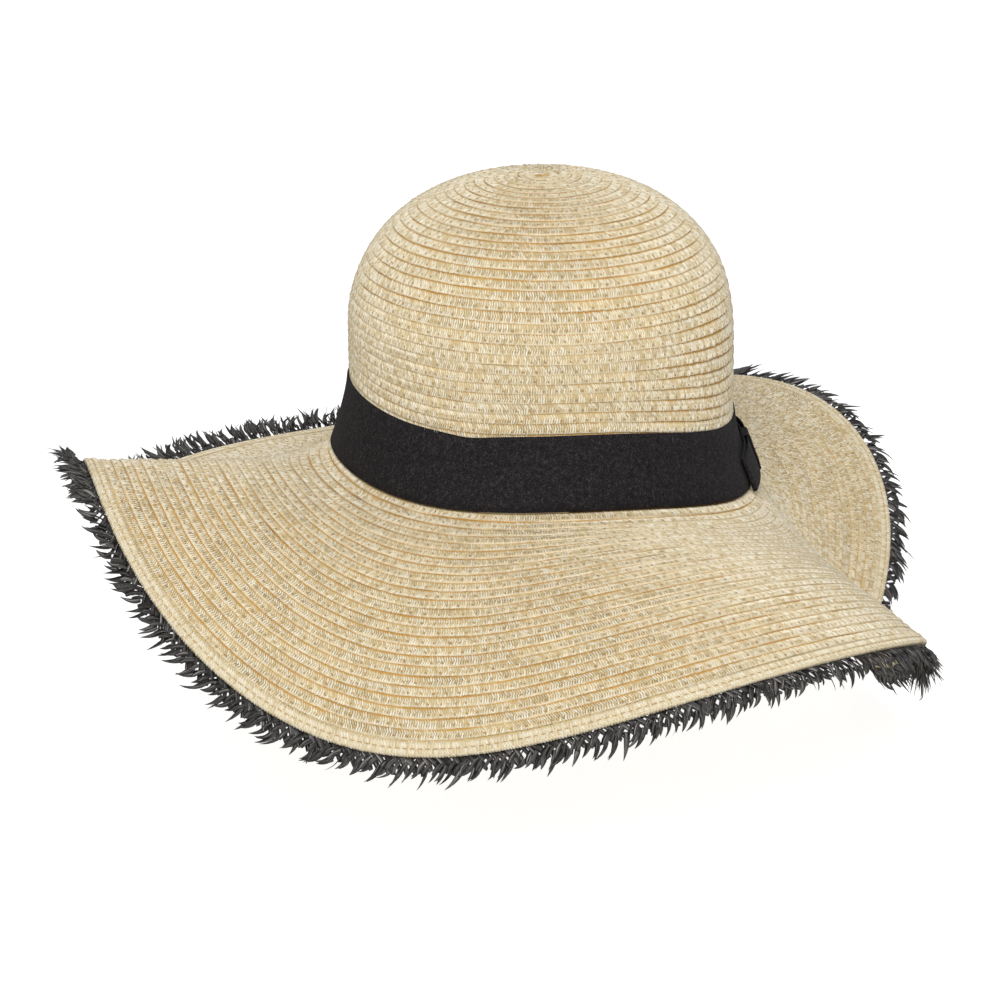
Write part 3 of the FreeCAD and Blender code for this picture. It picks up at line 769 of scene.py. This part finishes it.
hemStart = brim["length"] - 5.7
lastRow = hemStart + 0.6 - braid["pitch"]       # upper edge of the row that meets the hem
sewBraid("crown_braid_rows", "crown", 0.0, crownLength - braid["pitch"], "crown_braid")
sewBraid("brim_braid_rows", "brim", -braid["pitch"], lastRow + braid["pitch"], "brim_braid",
         deepest=hemStart + 0.9 - braid["width"] / 2)
underRibbon = float(heightToLength(28))
halfWay = 68.0
for layer in plait["layers"]:
    layPlait(f"crown_plait_{layer}", "crown", 0.6, underRibbon, layer)
    layPlait(f"brim_plait_inner_{layer}", "brim", -braid["pitch"], halfWay, layer)
    layPlait(f"brim_plait_outer_{layer}", "brim", halfWay, lastRow + braid["pitch"], layer)
laySeam("crown_seam", "crown", braid["pitch"], underRibbon, "crown_thread")
laySeam("brim_seam", "brim", -2.0, lastRow, "brim_thread")
print("braid sewn")


def flipToOutside(mesh):
    work = bmesh.new()
    work.from_mesh(mesh)
    bmesh.ops.recalc_face_normals(work, faces=work.faces)
    work.to_mesh(mesh)
    work.free()


def ringMesh(name, rows, closed=True, **attributes):
    # rows: places round the ring x points of the section x 3; quads between them
    count, width = rows.shape[:2]
    index = np.arange(count * width).reshape(count, width)
    here, ahead = (index, np.roll(index, -1, axis=0)) if closed else (index[:-1], index[1:])
    faces = np.stack([here, np.roll(here, -1, axis=1), np.roll(ahead, -1, axis=1), ahead], axis=-1)
    faces = faces.reshape(-1, 4).tolist()
    if not closed:
        faces += [index[0].tolist(), index[-1][::-1].tolist()]
    values = {label: np.reshape(value, (count * width, -1)).squeeze() for label, value in attributes.items()}
    mesh = guideMesh(name, rows.reshape(-1, 3), faces=faces, **values)
    flipToOutside(mesh)
    return mesh


def finishRing(name, mesh, material, slot, node):
    mesh.shade_smooth()
    mesh.materials.append(material)
    return settle(addPiece(name, mesh), slot, node)


hem = {
    "step": 2.6,
    "strawStep": 1.3,
    # rows of straw on the fold: name, place, width, lift at each side, share of a straw's length
    "plaits": [
        ("hem_plait_inner", 122.3, 2.5, (0.56, 0.58), 0.78),
        ("hem_plait_outer", 125.35, 2.1, (0.56, 0.58), 0.66),
        ("hem_plait_edge", 127.7, 0.45, (0.3, -1.3), 0.6),
        ("hem_plait_under", 127.8, -2.4, (-2.0, -2.75), 0.8),
    ],
    "plaitShift": 0.05,
    "plaitSlant": (0.4, 0.15),
    "plaitWidth": (0.9, 0.06),
    "plaitLength": 0.04,
    "plaitHeight": (0.75, 0.1),
    "straw": {"length": 3.1, "width": 1.25, "height": 0.3, "taper": 0.5, "corners": 3, "material": strawPlait},
    # fold of the last row, as place along the brim and lift, round the section
    "section": [
        (122.2, 0.28), (122.6, 0.46), (123.6, 0.56), (124.6, 0.48), (125.05, 0.28), (125.5, 0.46), (126.5, 0.56),
        (127.4, 0.36), (127.9, -0.25), (128.0, -1.0), (127.9, -1.75), (127.3, -2.35), (126.2, -2.6), (124.2, -2.62),
        (122.6, -2.55), (122.15, -2.3), (122.15, -1.85), (124.6, -1.83), (126.9, -1.78), (127.15, -1.0),
        (126.9, -0.22), (124.6, -0.12), (122.2, 0.06),
    ],
    "stitchStep": 3.4,
    "stitchPlace": 125.05,
    "stitch": {"length": 2.3, "width": 0.5, "height": 0.2, "taper": 0.45, "corners": 4, "material": shadedStrawThread,
               "lift": 0.38, "spread": 0.08},
}


def edgeAngles(spacing):
    # angles at even distances along the brim's edge, with the distance that one radian covers
    fine = np.linspace(0, fullTurn, 7201)
    xyz = brimPoint(np.full_like(fine, brim["length"]), fine)
    length = np.append(0, np.cumsum(np.linalg.norm(np.diff(xyz, axis=0), axis=1)))
    count = int(length[-1] / spacing)
    at = np.arange(count) * length[-1] / count
    return np.interp(at, length, fine), np.interp(at, length, np.gradient(length, fine))


def stitchEdge(name, spacing, place, look, slot, node):
    angles, _ = edgeAngles(spacing)
    layStitches(name, "brim", np.full(len(angles), place), angles, look, slot, node)


def makeHem():
    angles, _ = edgeAngles(hem["step"])
    section = np.array(hem["section"])
    rows = brimPoint(section[:, 0], angles[:, None], section[:, 1])
    # the fold wears the pale finish of a row's lower edge
    across, side = np.full(rows.shape[:2], 0.4), np.full(rows.shape[:2], 0.5)
    mesh = ringMesh("brim_hem_fold", rows, across=across, side=side)
    finishRing("brim_hem_fold", mesh, strawBraid, "straw_edge", "brim_hem")
    angles, _ = edgeAngles(hem["strawStep"])
    count = len(angles)
    for name, start, span, lift, share in hem["plaits"]:
        sizes = np.stack([middle + dice.normal(0, spread, count) for middle, spread in (
            hem["plaitWidth"], (share, hem["plaitLength"]), hem["plaitHeight"])], axis=1)
        places = start + dice.normal(0, hem["plaitShift"], count)
        slant = dice.normal(*hem["plaitSlant"], count)
        layGrains(name, "brim", places, angles, slant, sizes, {**hem["straw"], "span": span, "lift": lift},
                  "straw_edge")
    stitchEdge("hem_stitches", hem["stitchStep"], hem["stitchPlace"], hem["stitch"], "straw_thread", "hem_thread")


makeHem()
print("hem folded")

fringe = {
    "middleLift": -2.4,
    "upturns": [(118, 38), (188, 11)],   # degrees and spread where the fringe stands up
    "upturn": 8.0,
    "tuft": (-33, 10),       # and where it fans out long, at the right corner
}
heading = {
    "root": 125.2,           # where the plait starts, under the hem
    "end": 135.0,
    "spacing": 3.3,
    "reach": 3.6,            # how far a strand of the plait runs sideways
    "bulge": 0.8,
    "weave": 0.8,            # how far it goes over and under
    "dip": 0.9,
    "upturnShare": 0.45,
    "loose": {"start": 0.45, "reach": 0.15, "length": 0.6, "lift": 0.15, "twist": 0.35, "girth": 0.12},
    "girth": np.array([0.8, 1, 1.05, 1, 1, 0.95, 0.8]),
    "width": 2.5,
    "thickness": 0.55,
    "corners": 5,
}
prongs = {
    "root": 132.6,
    "spacing": 3.4,
    "length": (6.5, 10.5),
    "number": (1, 2),
    "lean": 0.75,            # radians
    "curl": -0.4,
    "loose": {"angle": 0.7, "lean": 0.2, "curl": 1.1, "length": 0.14, "root": 1.1, "start": 0.4, "lift": 0.5,
              "sag": 0.3, "own": 0.14, "twist": 0.4, "girth": 0.15},
    # how an upturn and the tuft change them
    "up": {"length": 0.35, "more": 2, "own": 0.15, "thin": 0.15},
    "tuft": {"length": 1.2, "more": 11, "own": 0.45, "thin": 0.45, "lean": 0.35, "start": 8, "drop": (-3, 15)},
    "girth": np.array([0.9, 1.1, 1.1, 0.9, 0.66, 0.38, 0.06]),
    "width": 2.1,
    "thickness": 0.5,
    "corners": 4,
}
fringeSeam = {
    "step": 4.2, "place": 125.4, "lift": -3.9, "spread": 0,
    "length": 3.2, "width": 0.6, "height": 0.3, "taper": 0.4, "corners": 4, "material": blackThread,
}


def drawStrands(name, lines, look, material, slot, *nodes):
    # lines: list of (points, facing, girth, tone) with points in mm
    points, facing, girth, tone, edges = [], [], [], [], []
    for xyz, face, thick, shade in lines:
        first = len(points)
        points += list(xyz)
        facing += list(face)
        girth += list(thick)
        tone += [shade] * len(xyz)
        edges += [(first + i, first + i + 1) for i in range(len(xyz) - 1)]
    guide = guideMesh(name, points, edges=edges, facing=facing, girth=girth, tone=tone)
    piece = grow(name, strandTree, guide, {
        "Width": look["width"] * mm, "Thickness": look["thickness"] * mm, "Corners": look["corners"],
        "Material": material,
    })
    return settle(piece, slot, *nodes)


def closeTo(angle, place, wide):
    # 1 at a place round the hat, falling to 0 away from it
    away = (np.degrees(angle) - place + 180) % 360 - 180
    return float(np.exp(-(away / wide) ** 2))


def upturned(angle):
    return max(closeTo(angle, place, wide) for place, wide in fringe["upturns"])


def raffiaStrand(s, at, lift, look, thin=1.0):
    face = unit(brimNormal(s, at) + dice.normal(0, look["loose"]["twist"], 3))
    thick = look["girth"] * (1 + dice.normal(0, look["loose"]["girth"])) * thin
    return brimPoint(s, at, lift), face, thick, dice.random()


def plaitHeading():
    # strands that cross to and fro under the edge
    loose = heading["loose"]
    angles, reach = edgeAngles(heading["spacing"])
    share = np.linspace(0, 1, len(heading["girth"]))
    lines = []
    for way in (1, -1):
        for angle, perRadian in zip(angles, reach):
            start = dice.normal(0, loose["start"])
            sideways = way * heading["reach"] * (1 + dice.normal(0, loose["reach"]))
            arc = start + sideways * (2 * share - 1) + way * heading["bulge"] * np.sin(share * math.pi)
            s = heading["root"] + (heading["end"] - heading["root"] + dice.normal(0, loose["length"])) * share
            over = share * fullTurn + (0 if way > 0 else math.pi)
            weave = heading["weave"] * np.sin(over) + dice.normal(0, loose["lift"])
            lift = fringe["middleLift"] - heading["dip"] * (1 - share) ** 2 + weave * (0.25 + 0.75 * share)
            lift = lift + heading["upturnShare"] * fringe["upturn"] * upturned(angle) * share ** 2
            lines.append(raffiaStrand(s, angle + arc / perRadian, lift, heading))
    drawStrands("fringe_plait", lines, heading, blackRaffia, "raffia", "fringe_heading")


def frayEnds():
    # frayed ends in small clumps that lean one way and curl
    loose, atUpturn, atTuft = prongs["loose"], prongs["up"], prongs["tuft"]
    angles, reach = edgeAngles(prongs["spacing"])
    share = np.linspace(0, 1, len(prongs["girth"]))
    lines = []
    for angle, perRadian in zip(angles, reach):
        up = upturned(angle)
        tuft = closeTo(angle, *fringe["tuft"])
        angle = angle + dice.normal(0, loose["angle"]) / perRadian
        lean = prongs["lean"] + dice.normal(0, loose["lean"]) - atTuft["lean"] * tuft
        curl = dice.normal(prongs["curl"], loose["curl"])
        size = dice.uniform(*prongs["length"]) * (1 + atUpturn["length"] * up + atTuft["length"] * tuft)
        number = dice.integers(prongs["number"][0], prongs["number"][1] + 1)
        for prong in range(number + round(atTuft["more"] * tuft + atUpturn["more"] * up)):
            own = lean + dice.normal(0, loose["own"] + atUpturn["own"] * up + atTuft["own"] * tuft)
            drop = dice.uniform(*atTuft["drop"]) * tuft
            step = size * (1 + dice.normal(0, loose["length"])) / (len(share) - 1)
            root = dice.normal(0, loose["root"])
            bend = own * (0.35 + 0.95 * share)
            out = np.append(0, np.cumsum(np.cos(bend[:-1]) * step))
            side = np.append(0, np.cumsum(np.sin(bend[:-1]) * step))
            s = prongs["root"] - atTuft["start"] * tuft * dice.random() + dice.normal(0, loose["start"]) + out
            arc = root * (1 - 0.5 * share) - side
            lift = fringe["middleLift"] + dice.normal(0, loose["lift"]) + curl * share ** 2
            lift = lift + dice.normal(0, loose["sag"]) * share
            lift = lift + up * fringe["upturn"] * (0.45 + 0.55 * share) - drop * share
            thin = 1 - atUpturn["thin"] * up - atTuft["thin"] * tuft
            lines.append(raffiaStrand(s, angle + arc / perRadian, lift, prongs, thin))
    drawStrands("fringe_prongs", lines, prongs, blackRaffia, "raffia", "fringe_ends")


plaitHeading()
frayEnds()
stitchEdge("fringe_stitches", fringeSeam["step"], fringeSeam["place"], fringeSeam, "black_thread", "fringe_thread")
print("fringe plaited")

ribbon = {
    "low": 0.4,
    "high": 32.4,
    "inside": 0.15,          # out from the crown's surface
    "outside": 0.95,
    "dip": (249, 7, 1.1),    # degrees, spread and depth where the upper edge sags
    "column": 0.3,
    "ribPitch": 0.85,
    "ribHeight": 0.06,
}
sweatband = {
    "low": 1.0,
    "high": 30.0,
    "inside": -3.0,
    "outside": -2.2,
    "dip": (0, 1, 0),
    "column": 0.6,
    "ribPitch": 1.2,
    "ribHeight": -0.05,
}
bandLines = 8                # points up each side of a band


def bandRows(angles, low, high, inside, outside):
    # closed section of a band on the crown: up its outside, down its inside
    up = np.linspace(0, 1, bandLines)
    places = heightToLength(low + (high - low)[:, None] * up[None, :])
    turned = np.broadcast_to(angles[:, None], places.shape)
    outer = crownPoint(places, turned, np.broadcast_to(outside, places.shape))
    inner = crownPoint(places[:, ::-1], turned, np.broadcast_to(inside, places.shape))
    facing = np.concatenate([crownNormal(places, turned), crownNormal(places[:, ::-1], turned)], axis=1)
    return np.concatenate([outer, inner], axis=1), facing


def makeBand(name, look, material, slot, node):
    angles = np.linspace(0, fullTurn, 721)
    middle = crownPoint(heightToLength((look["low"] + look["high"]) / 2), angles, np.full(721, look["inside"]))
    around = np.linalg.norm(np.diff(middle, axis=0), axis=1).sum()
    count = int(around / look["column"] / 2) * 2
    angles = np.arange(count) * fullTurn / count
    degrees, spread, depth = look["dip"]
    away = (angles - math.radians(degrees)) / math.radians(spread)
    top = look["high"] - depth * np.exp(-away * away)
    rows, facing = bandRows(angles, look["low"], top, look["inside"], look["outside"])
    along = np.broadcast_to((angles * around / fullTurn)[:, None], rows.shape[:2])
    ribbed = np.zeros(rows.shape[:2])
    ribbed[:, 1:bandLines - 1] = 1
    mesh = ringMesh(name, rows, facing=facing, along=along, ribbed=ribbed)
    piece = grow(name, ribTree, mesh, {
        "Pitch": look["ribPitch"], "Height": look["ribHeight"] * mm, "Material": material,
    })
    settle(piece, slot, node)


makeBand("ribbon_band_grosgrain", ribbon, blackGrosgrain, "ribbon", "ribbon_band")
makeBand("sweatband_cotton", sweatband, sweatbandCotton, "sweatband_cotton", "sweatband")
print("bands laid")

bow = {
    "degrees": 3,            # place round the crown, from the wearer's left to the back
    "bottom": 1.0,           # lower edge above the head line
    "face": 0.95,            # the ribbon's outside, out from the crown
    "wall": 0.6,
    "loopLength": 30,
    "loopHeight": 17,
    "loopBack": 1.8,
    "loopStart": 0.8,
    "depth": 1.9,
    "foldRoom": 0.2,
    "belly": 0.5,            # how far the front of a loop swells
    "lean": (0.1, 0.4),      # how far its back and its front stand off at the fold
    "buckle": 0.12,
    "knotLength": 10,
    "knotBack": 1.0,
    "knotCorner": 0.8,
    "gather": (0.14, 2.4),   # depth and pitch of the knot's folds
    "slack": 0.3,
    "tailLength": 38,
    "tailHeight": 30,
    "tailBack": 0.15,
    "notch": -1.2,
    "ribPitch": 0.85,
    "ribHeight": 0.05,
    "lines": 9,              # points up each side of a loop
    "knotLines": 15,
}


def bowPoint(x, y, z):
    # x towards the front along the ribbon, y out from it, z up along it, all in the bow's own frame
    angle = math.radians(bow["degrees"])
    place = heightToLength(bow["bottom"])
    base = crownPoint(place, angle, bow["face"])
    out = crownNormal(place, angle)
    ahead, behind = (crownPoint(place, angle + way * probe["angle"], bow["face"]) for way in (-1, 1))
    along = unit(ahead - behind)
    up = unit(np.cross(along, out))
    x, y, z = (np.asarray(value)[..., None] for value in (x, y, z))
    return base + x * along + y * out + z * up


def bowWay(x, y, z):
    return bowPoint(x, y, z) - bowPoint(0.0, 0.0, 0.0)


def followCrown(x):
    return -x * x * crown["halfWidth"] / (2 * crown["halfDepth"] ** 2)


def runLength(points):
    return np.append(0, np.cumsum(np.linalg.norm(np.diff(points, axis=0), axis=1)))


def ribbonStrip(name, path, height, node, buckle=0.0, notch=0.0):
    # folded ribbon: path holds (x, y) of its middle, and it is as wide as height
    step = np.diff(path, axis=0, append=path[-1:] * 2 - path[-2:-1])
    side = unit(np.stack([-step[:, 1], step[:, 0]], axis=1))
    run = runLength(path)
    up = np.linspace(0, 1, bow["lines"])
    bend = buckle * np.sin(up * math.pi)[None, :] * np.sin(run / run[-1] * math.pi)[:, None]
    ends = notch * np.abs(2 * up - 1)[None, :] * (2 * run / run[-1] - 1)[:, None] ** 9
    sides = []
    for half, order in ((bow["wall"] / 2, slice(None)), (-bow["wall"] / 2, slice(None, None, -1))):
        x = path[:, :1] + side[:, :1] * (half + bend) + ends
        y = path[:, 1:] + side[:, 1:] * (half + bend)
        sides.append(bowPoint(x, y, np.broadcast_to(height * up, x.shape))[:, order])
    rows = np.concatenate(sides, axis=1)
    facing = np.broadcast_to(bowWay(*side.T, np.zeros(len(side)))[:, None, :], rows.shape)
    along = np.broadcast_to(run[:, None], rows.shape[:2])
    ribbed = np.ones(rows.shape[:2])
    ribbed[:, bow["lines"]:] = -1
    ribbed[:, [0, bow["lines"] - 1, bow["lines"], -1]] = 0
    mesh = ringMesh(name, rows, closed=False, facing=facing, along=along, ribbed=ribbed)
    piece = grow(name, ribTree, mesh, {
        "Pitch": bow["ribPitch"], "Height": bow["ribHeight"] * mm, "Material": blackGrosgrain,
    })
    settle(piece, "ribbon", node)


def loopPath():
    # back layer, round the fold, front layer back to the knot
    inset = bow["wall"] / 2
    back, front = bow["loopBack"] + inset, bow["loopBack"] + bow["depth"] - inset
    radius = (front - back) / 2 + bow["foldRoom"]
    last = bow["loopLength"] - inset - radius
    x = np.linspace(bow["loopStart"] + inset, last, 80)
    share = x / last
    leanBack, leanFront = bow["lean"]
    swell = bow["belly"] * np.sin(share * math.pi)
    below = np.stack([x, back + followCrown(x) + leanBack * share], axis=1)
    above = np.stack([x, front + followCrown(x) + swell + leanFront * share], axis=1)[::-1]
    turn = np.linspace(-math.pi / 2, math.pi / 2, 13)[1:-1]
    middle = (below[-1] + above[0]) / 2
    half = (above[0, 1] - below[-1, 1]) / 2
    fold = np.stack([middle[0] + radius * np.cos(turn), middle[1] + half * np.sin(turn)], axis=1)
    return np.concatenate([below, fold, above])


def knotRing(half):
    # the knot's middle line round the loops, in even steps, as (y, z)
    corner = bow["knotCorner"]
    near, far = bow["knotBack"] + half, knotFront - half
    low, high = -bow["slack"] - half, bow["loopHeight"] + bow["slack"] + half
    centres = np.array([(far, high), (near, high), (near, low), (far, low)])
    centres = centres + corner * np.array([(-1, -1), (1, -1), (1, 1), (-1, 1)])
    ring = []
    for start, centre in enumerate(centres):
        turn = (start + np.linspace(0, 1, 6)) * math.pi / 2
        ring += list(centre + corner * np.stack([np.cos(turn), np.sin(turn)], axis=1))
    closing = np.array(ring + ring[:1])
    run = runLength(closing)
    even = np.linspace(0, run[-1], 121)[:-1]
    return np.stack([np.interp(even, run, closing[:, axis]) for axis in (0, 1)], axis=1), run[-1]


knotFront = bow["knotBack"] + 2 * bow["wall"] + bow["depth"] + 2 * bow["slack"]


def makeKnot():
    # ribbon wrapped once round the middle of the loops, slightly gathered
    half = bow["wall"] / 2
    ring, around = knotRing(half)
    step = np.roll(ring, -1, axis=0) - np.roll(ring, 1, axis=0)
    side = unit(np.stack([step[:, 1], -step[:, 0]], axis=1))
    x = np.linspace(-0.5, 0.5, bow["knotLines"]) * bow["knotLength"]
    depth, pitch = bow["gather"]
    gather = depth * np.cos(x * fullTurn / pitch)
    sides = []
    for offset, order in ((half, slice(None)), (-half, slice(None, None, -1))):
        y = ring[:, :1] + side[:, :1] * (offset + gather)
        z = ring[:, 1:] + side[:, 1:] * (offset + gather)
        sides.append(bowPoint(np.broadcast_to(x, y.shape), y, z)[:, order])
    mesh = ringMesh("bow_knot_ribbon", np.concatenate(sides, axis=1))
    piece = finishRing("bow_knot_ribbon", mesh, blackGrosgrain, "ribbon", "bow_knot")


def makeBow():
    path = loopPath()
    ribbonStrip("bow_loop_front_ribbon", path, bow["loopHeight"], "bow_loop_front", bow["buckle"])
    ribbonStrip("bow_loop_back_ribbon", path[::-1] * [-1, 1], bow["loopHeight"], "bow_loop_back", bow["buckle"])
    x = np.linspace(-bow["tailLength"] / 2, bow["tailLength"] / 2, 100)
    tails = np.stack([x, bow["tailBack"] + bow["wall"] / 2 + followCrown(x)], axis=1)
    ribbonStrip("bow_tails_ribbon", tails, bow["tailHeight"], "bow_tails", notch=bow["notch"])
    makeKnot()


label = {"low": 8.0, "high": 22.0, "inside": -3.5, "outside": -3.1, "degrees": (82, 98), "length": 26.5, "steps": 60}


def makeLabel():
    # blank woven label at the back of the sweatband
    steps = label["steps"]
    angles = np.radians(np.linspace(*label["degrees"], steps))
    rows, facing = bandRows(angles, label["low"], np.full(steps, label["high"]), label["inside"], label["outside"])
    along = np.broadcast_to(np.linspace(0, label["length"], steps)[:, None], rows.shape[:2])
    ribbed = np.zeros(rows.shape[:2])
    mesh = ringMesh("size_label_tape", rows, closed=False, facing=facing, along=along, ribbed=ribbed)
    piece = grow("size_label_tape", ribTree, mesh, {"Pitch": 1.0, "Height": 0.0, "Material": labelTape})
    settle(piece, "label_tape", "size_label")


tack = {
    "length": 2.4, "width": 0.5, "height": 0.15, "taper": 0.3, "corners": 6, "material": blackThread,
    "lift": 1.15, "spread": 0.05,
    "degrees": [60, 140, 235, 310],
    "at": 29.2,              # up the ribbon
    "onKnot": [3.2, 13.2],
    "proud": 0.25,
}
looseEnds = {
    "width": 0.22, "thickness": 0.2, "corners": 4,
    "ends": [(235, 4.0, 0.9, 1.6), (238.5, 3.2, -0.8, 2.2), (239.5, 2.6, 0.3, -1.5)],  # degrees, reach, lean, swirl
    "start": 31.6,
    "lift": 1.1,
    "curl": 0.5,
    "sway": 0.35,
    "radius": 93,
}
sweatbandSeam = {
    "length": 2.3, "width": 0.4, "height": 0.14, "taper": 0.4, "corners": 4, "material": shadedStrawThread,
    "lift": -3.15, "spread": 0.05, "count": 200, "at": 3.0,
}


def makeTacks():
    angles = np.radians(tack["degrees"])
    layStitches("ribbon_tack_stitches", "crown", heightToLength(np.full(len(angles), tack["at"])), angles, tack,
                "black_thread", "ribbon_tacks", upright=True)
    middle = bowPoint(np.zeros(2), np.full(2, knotFront + tack["proud"]), np.array(tack["onKnot"]))
    growGrains("bow_tack_stitches", tack, "black_thread", ["bow_tacks"], middle,
               facing=np.tile(bowWay(0.0, 1.0, 0.0), (2, 1)), lengthwise=np.tile(bowWay(0.0, 0.0, 1.0), (2, 1)),
               size=np.ones((2, 3)), tone=np.full(2, 0.5))


def makeLooseEnds():
    # thread ends that stand up beside one tack
    share = np.linspace(0, 1, 9)
    lines = []
    for degrees, reach, lean, swirl in looseEnds["ends"]:
        places = heightToLength(looseEnds["start"] + reach * share)
        sway = (lean * share + looseEnds["sway"] * np.sin(share * swirl * math.pi)) / looseEnds["radius"]
        angle = math.radians(degrees) + sway
        xyz = crownPoint(places, angle, looseEnds["lift"] + looseEnds["curl"] * np.sin(share * 3))
        lines.append((xyz, crownNormal(places, angle), np.ones(9), dice.random()))
    drawStrands("ribbon_thread_ends", lines, looseEnds, looseThread, "black_thread")


def sewSweatband():
    count = sweatbandSeam["count"]
    angles = np.arange(count) * fullTurn / count
    layStitches("sweatband_stitches", "crown", heightToLength(np.full(count, sweatbandSeam["at"])), angles,
                sweatbandSeam, "straw_thread", "sweatband_thread")


makeBow()
makeLabel()
makeTacks()
makeLooseEnds()
sewSweatband()
print("bow tied")

for nodeName, metal in (("brim_wire", springWire), ("wire_sleeve", crimpMetal)):
    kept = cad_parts[nodeName]
    kept.data.materials.clear()
    kept.data.materials.append(metal)

studio = {
    "floorDrop": 0.4,
    "floorHalf": 6.0,        # metres
    "floorShades": [(0.3, (180, 180, 180)), (0.7, (184, 184, 184))],
    "floorGlow": 0.42,       # light table under the hat
    "floorWhite": 0.45,      # how much whiter the camera sees it
    "sky": 0.32,
    # name, watts, size and place in metres
    "lights": [
        ("keyLight", 43, 1.2, (-0.1, -1.85, 1.65)),
        ("fillLight", 1.5, 1.8, (1.6, -0.6, 1.0)),
        ("backLight", 9, 1.6, (0.2, 2.0, 1.5)),
    ],
}
white = (1, 1, 1, 1)


def addLight(name, power, size, where):
    # soft square light that faces the hat
    data = bpy.data.lights.new(name, "AREA")
    data.energy = power
    data.size = size
    lamp = bpy.data.objects.new(name, data)
    scene.collection.objects.link(lamp)
    lamp.location = where
    lamp.rotation_euler = (-Vector(where)).to_track_quat("-Z", "Y").to_euler()


def makeFloor():
    height = min(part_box("fringe_ends")[0].z, cadLow.z) - studio["floorDrop"] * mm
    half = studio["floorHalf"]
    mesh = bpy.data.meshes.new("studioFloor")
    corners = [(-half, -half), (half, -half), (half, half), (-half, half)]
    mesh.from_pydata([(x, y, height) for x, y in corners], [], [(0, 1, 2, 3)])
    floor = bpy.data.objects.new("studioFloor", mesh)
    scene.collection.objects.link(floor)
    material, tree, shader = newMaterial("paleFloor", roughness=0.9, specular=0.1)
    where = addNode(tree, "ShaderNodeTexCoord").outputs["Object"]
    grain = addNode(tree, "ShaderNodeTexNoise", Vector=where, Scale=30.0)
    plug(tree, ramp(tree, grain, studio["floorShades"]), shader.inputs["Base Color"])
    seen = addNode(tree, "ShaderNodeLightPath").outputs["Is Camera Ray"]
    glow = mathNode(tree, "ADD", mathNode(tree, "MULTIPLY", seen, studio["floorWhite"]), studio["floorGlow"])
    shader.inputs["Emission Color"].default_value = white
    plug(tree, glow, shader.inputs["Emission Strength"])
    mesh.materials.append(material)


def makeStudio():
    makeFloor()
    world = bpy.data.worlds.new("studio")
    world.use_nodes = True
    sky = world.node_tree.nodes["Background"]
    sky.inputs["Color"].default_value = white
    sky.inputs["Strength"].default_value = studio["sky"]
    scene.world = world
    for light in studio["lights"]:
        addLight(*light)
    scene.view_settings.view_transform = "Standard"


makeStudio()
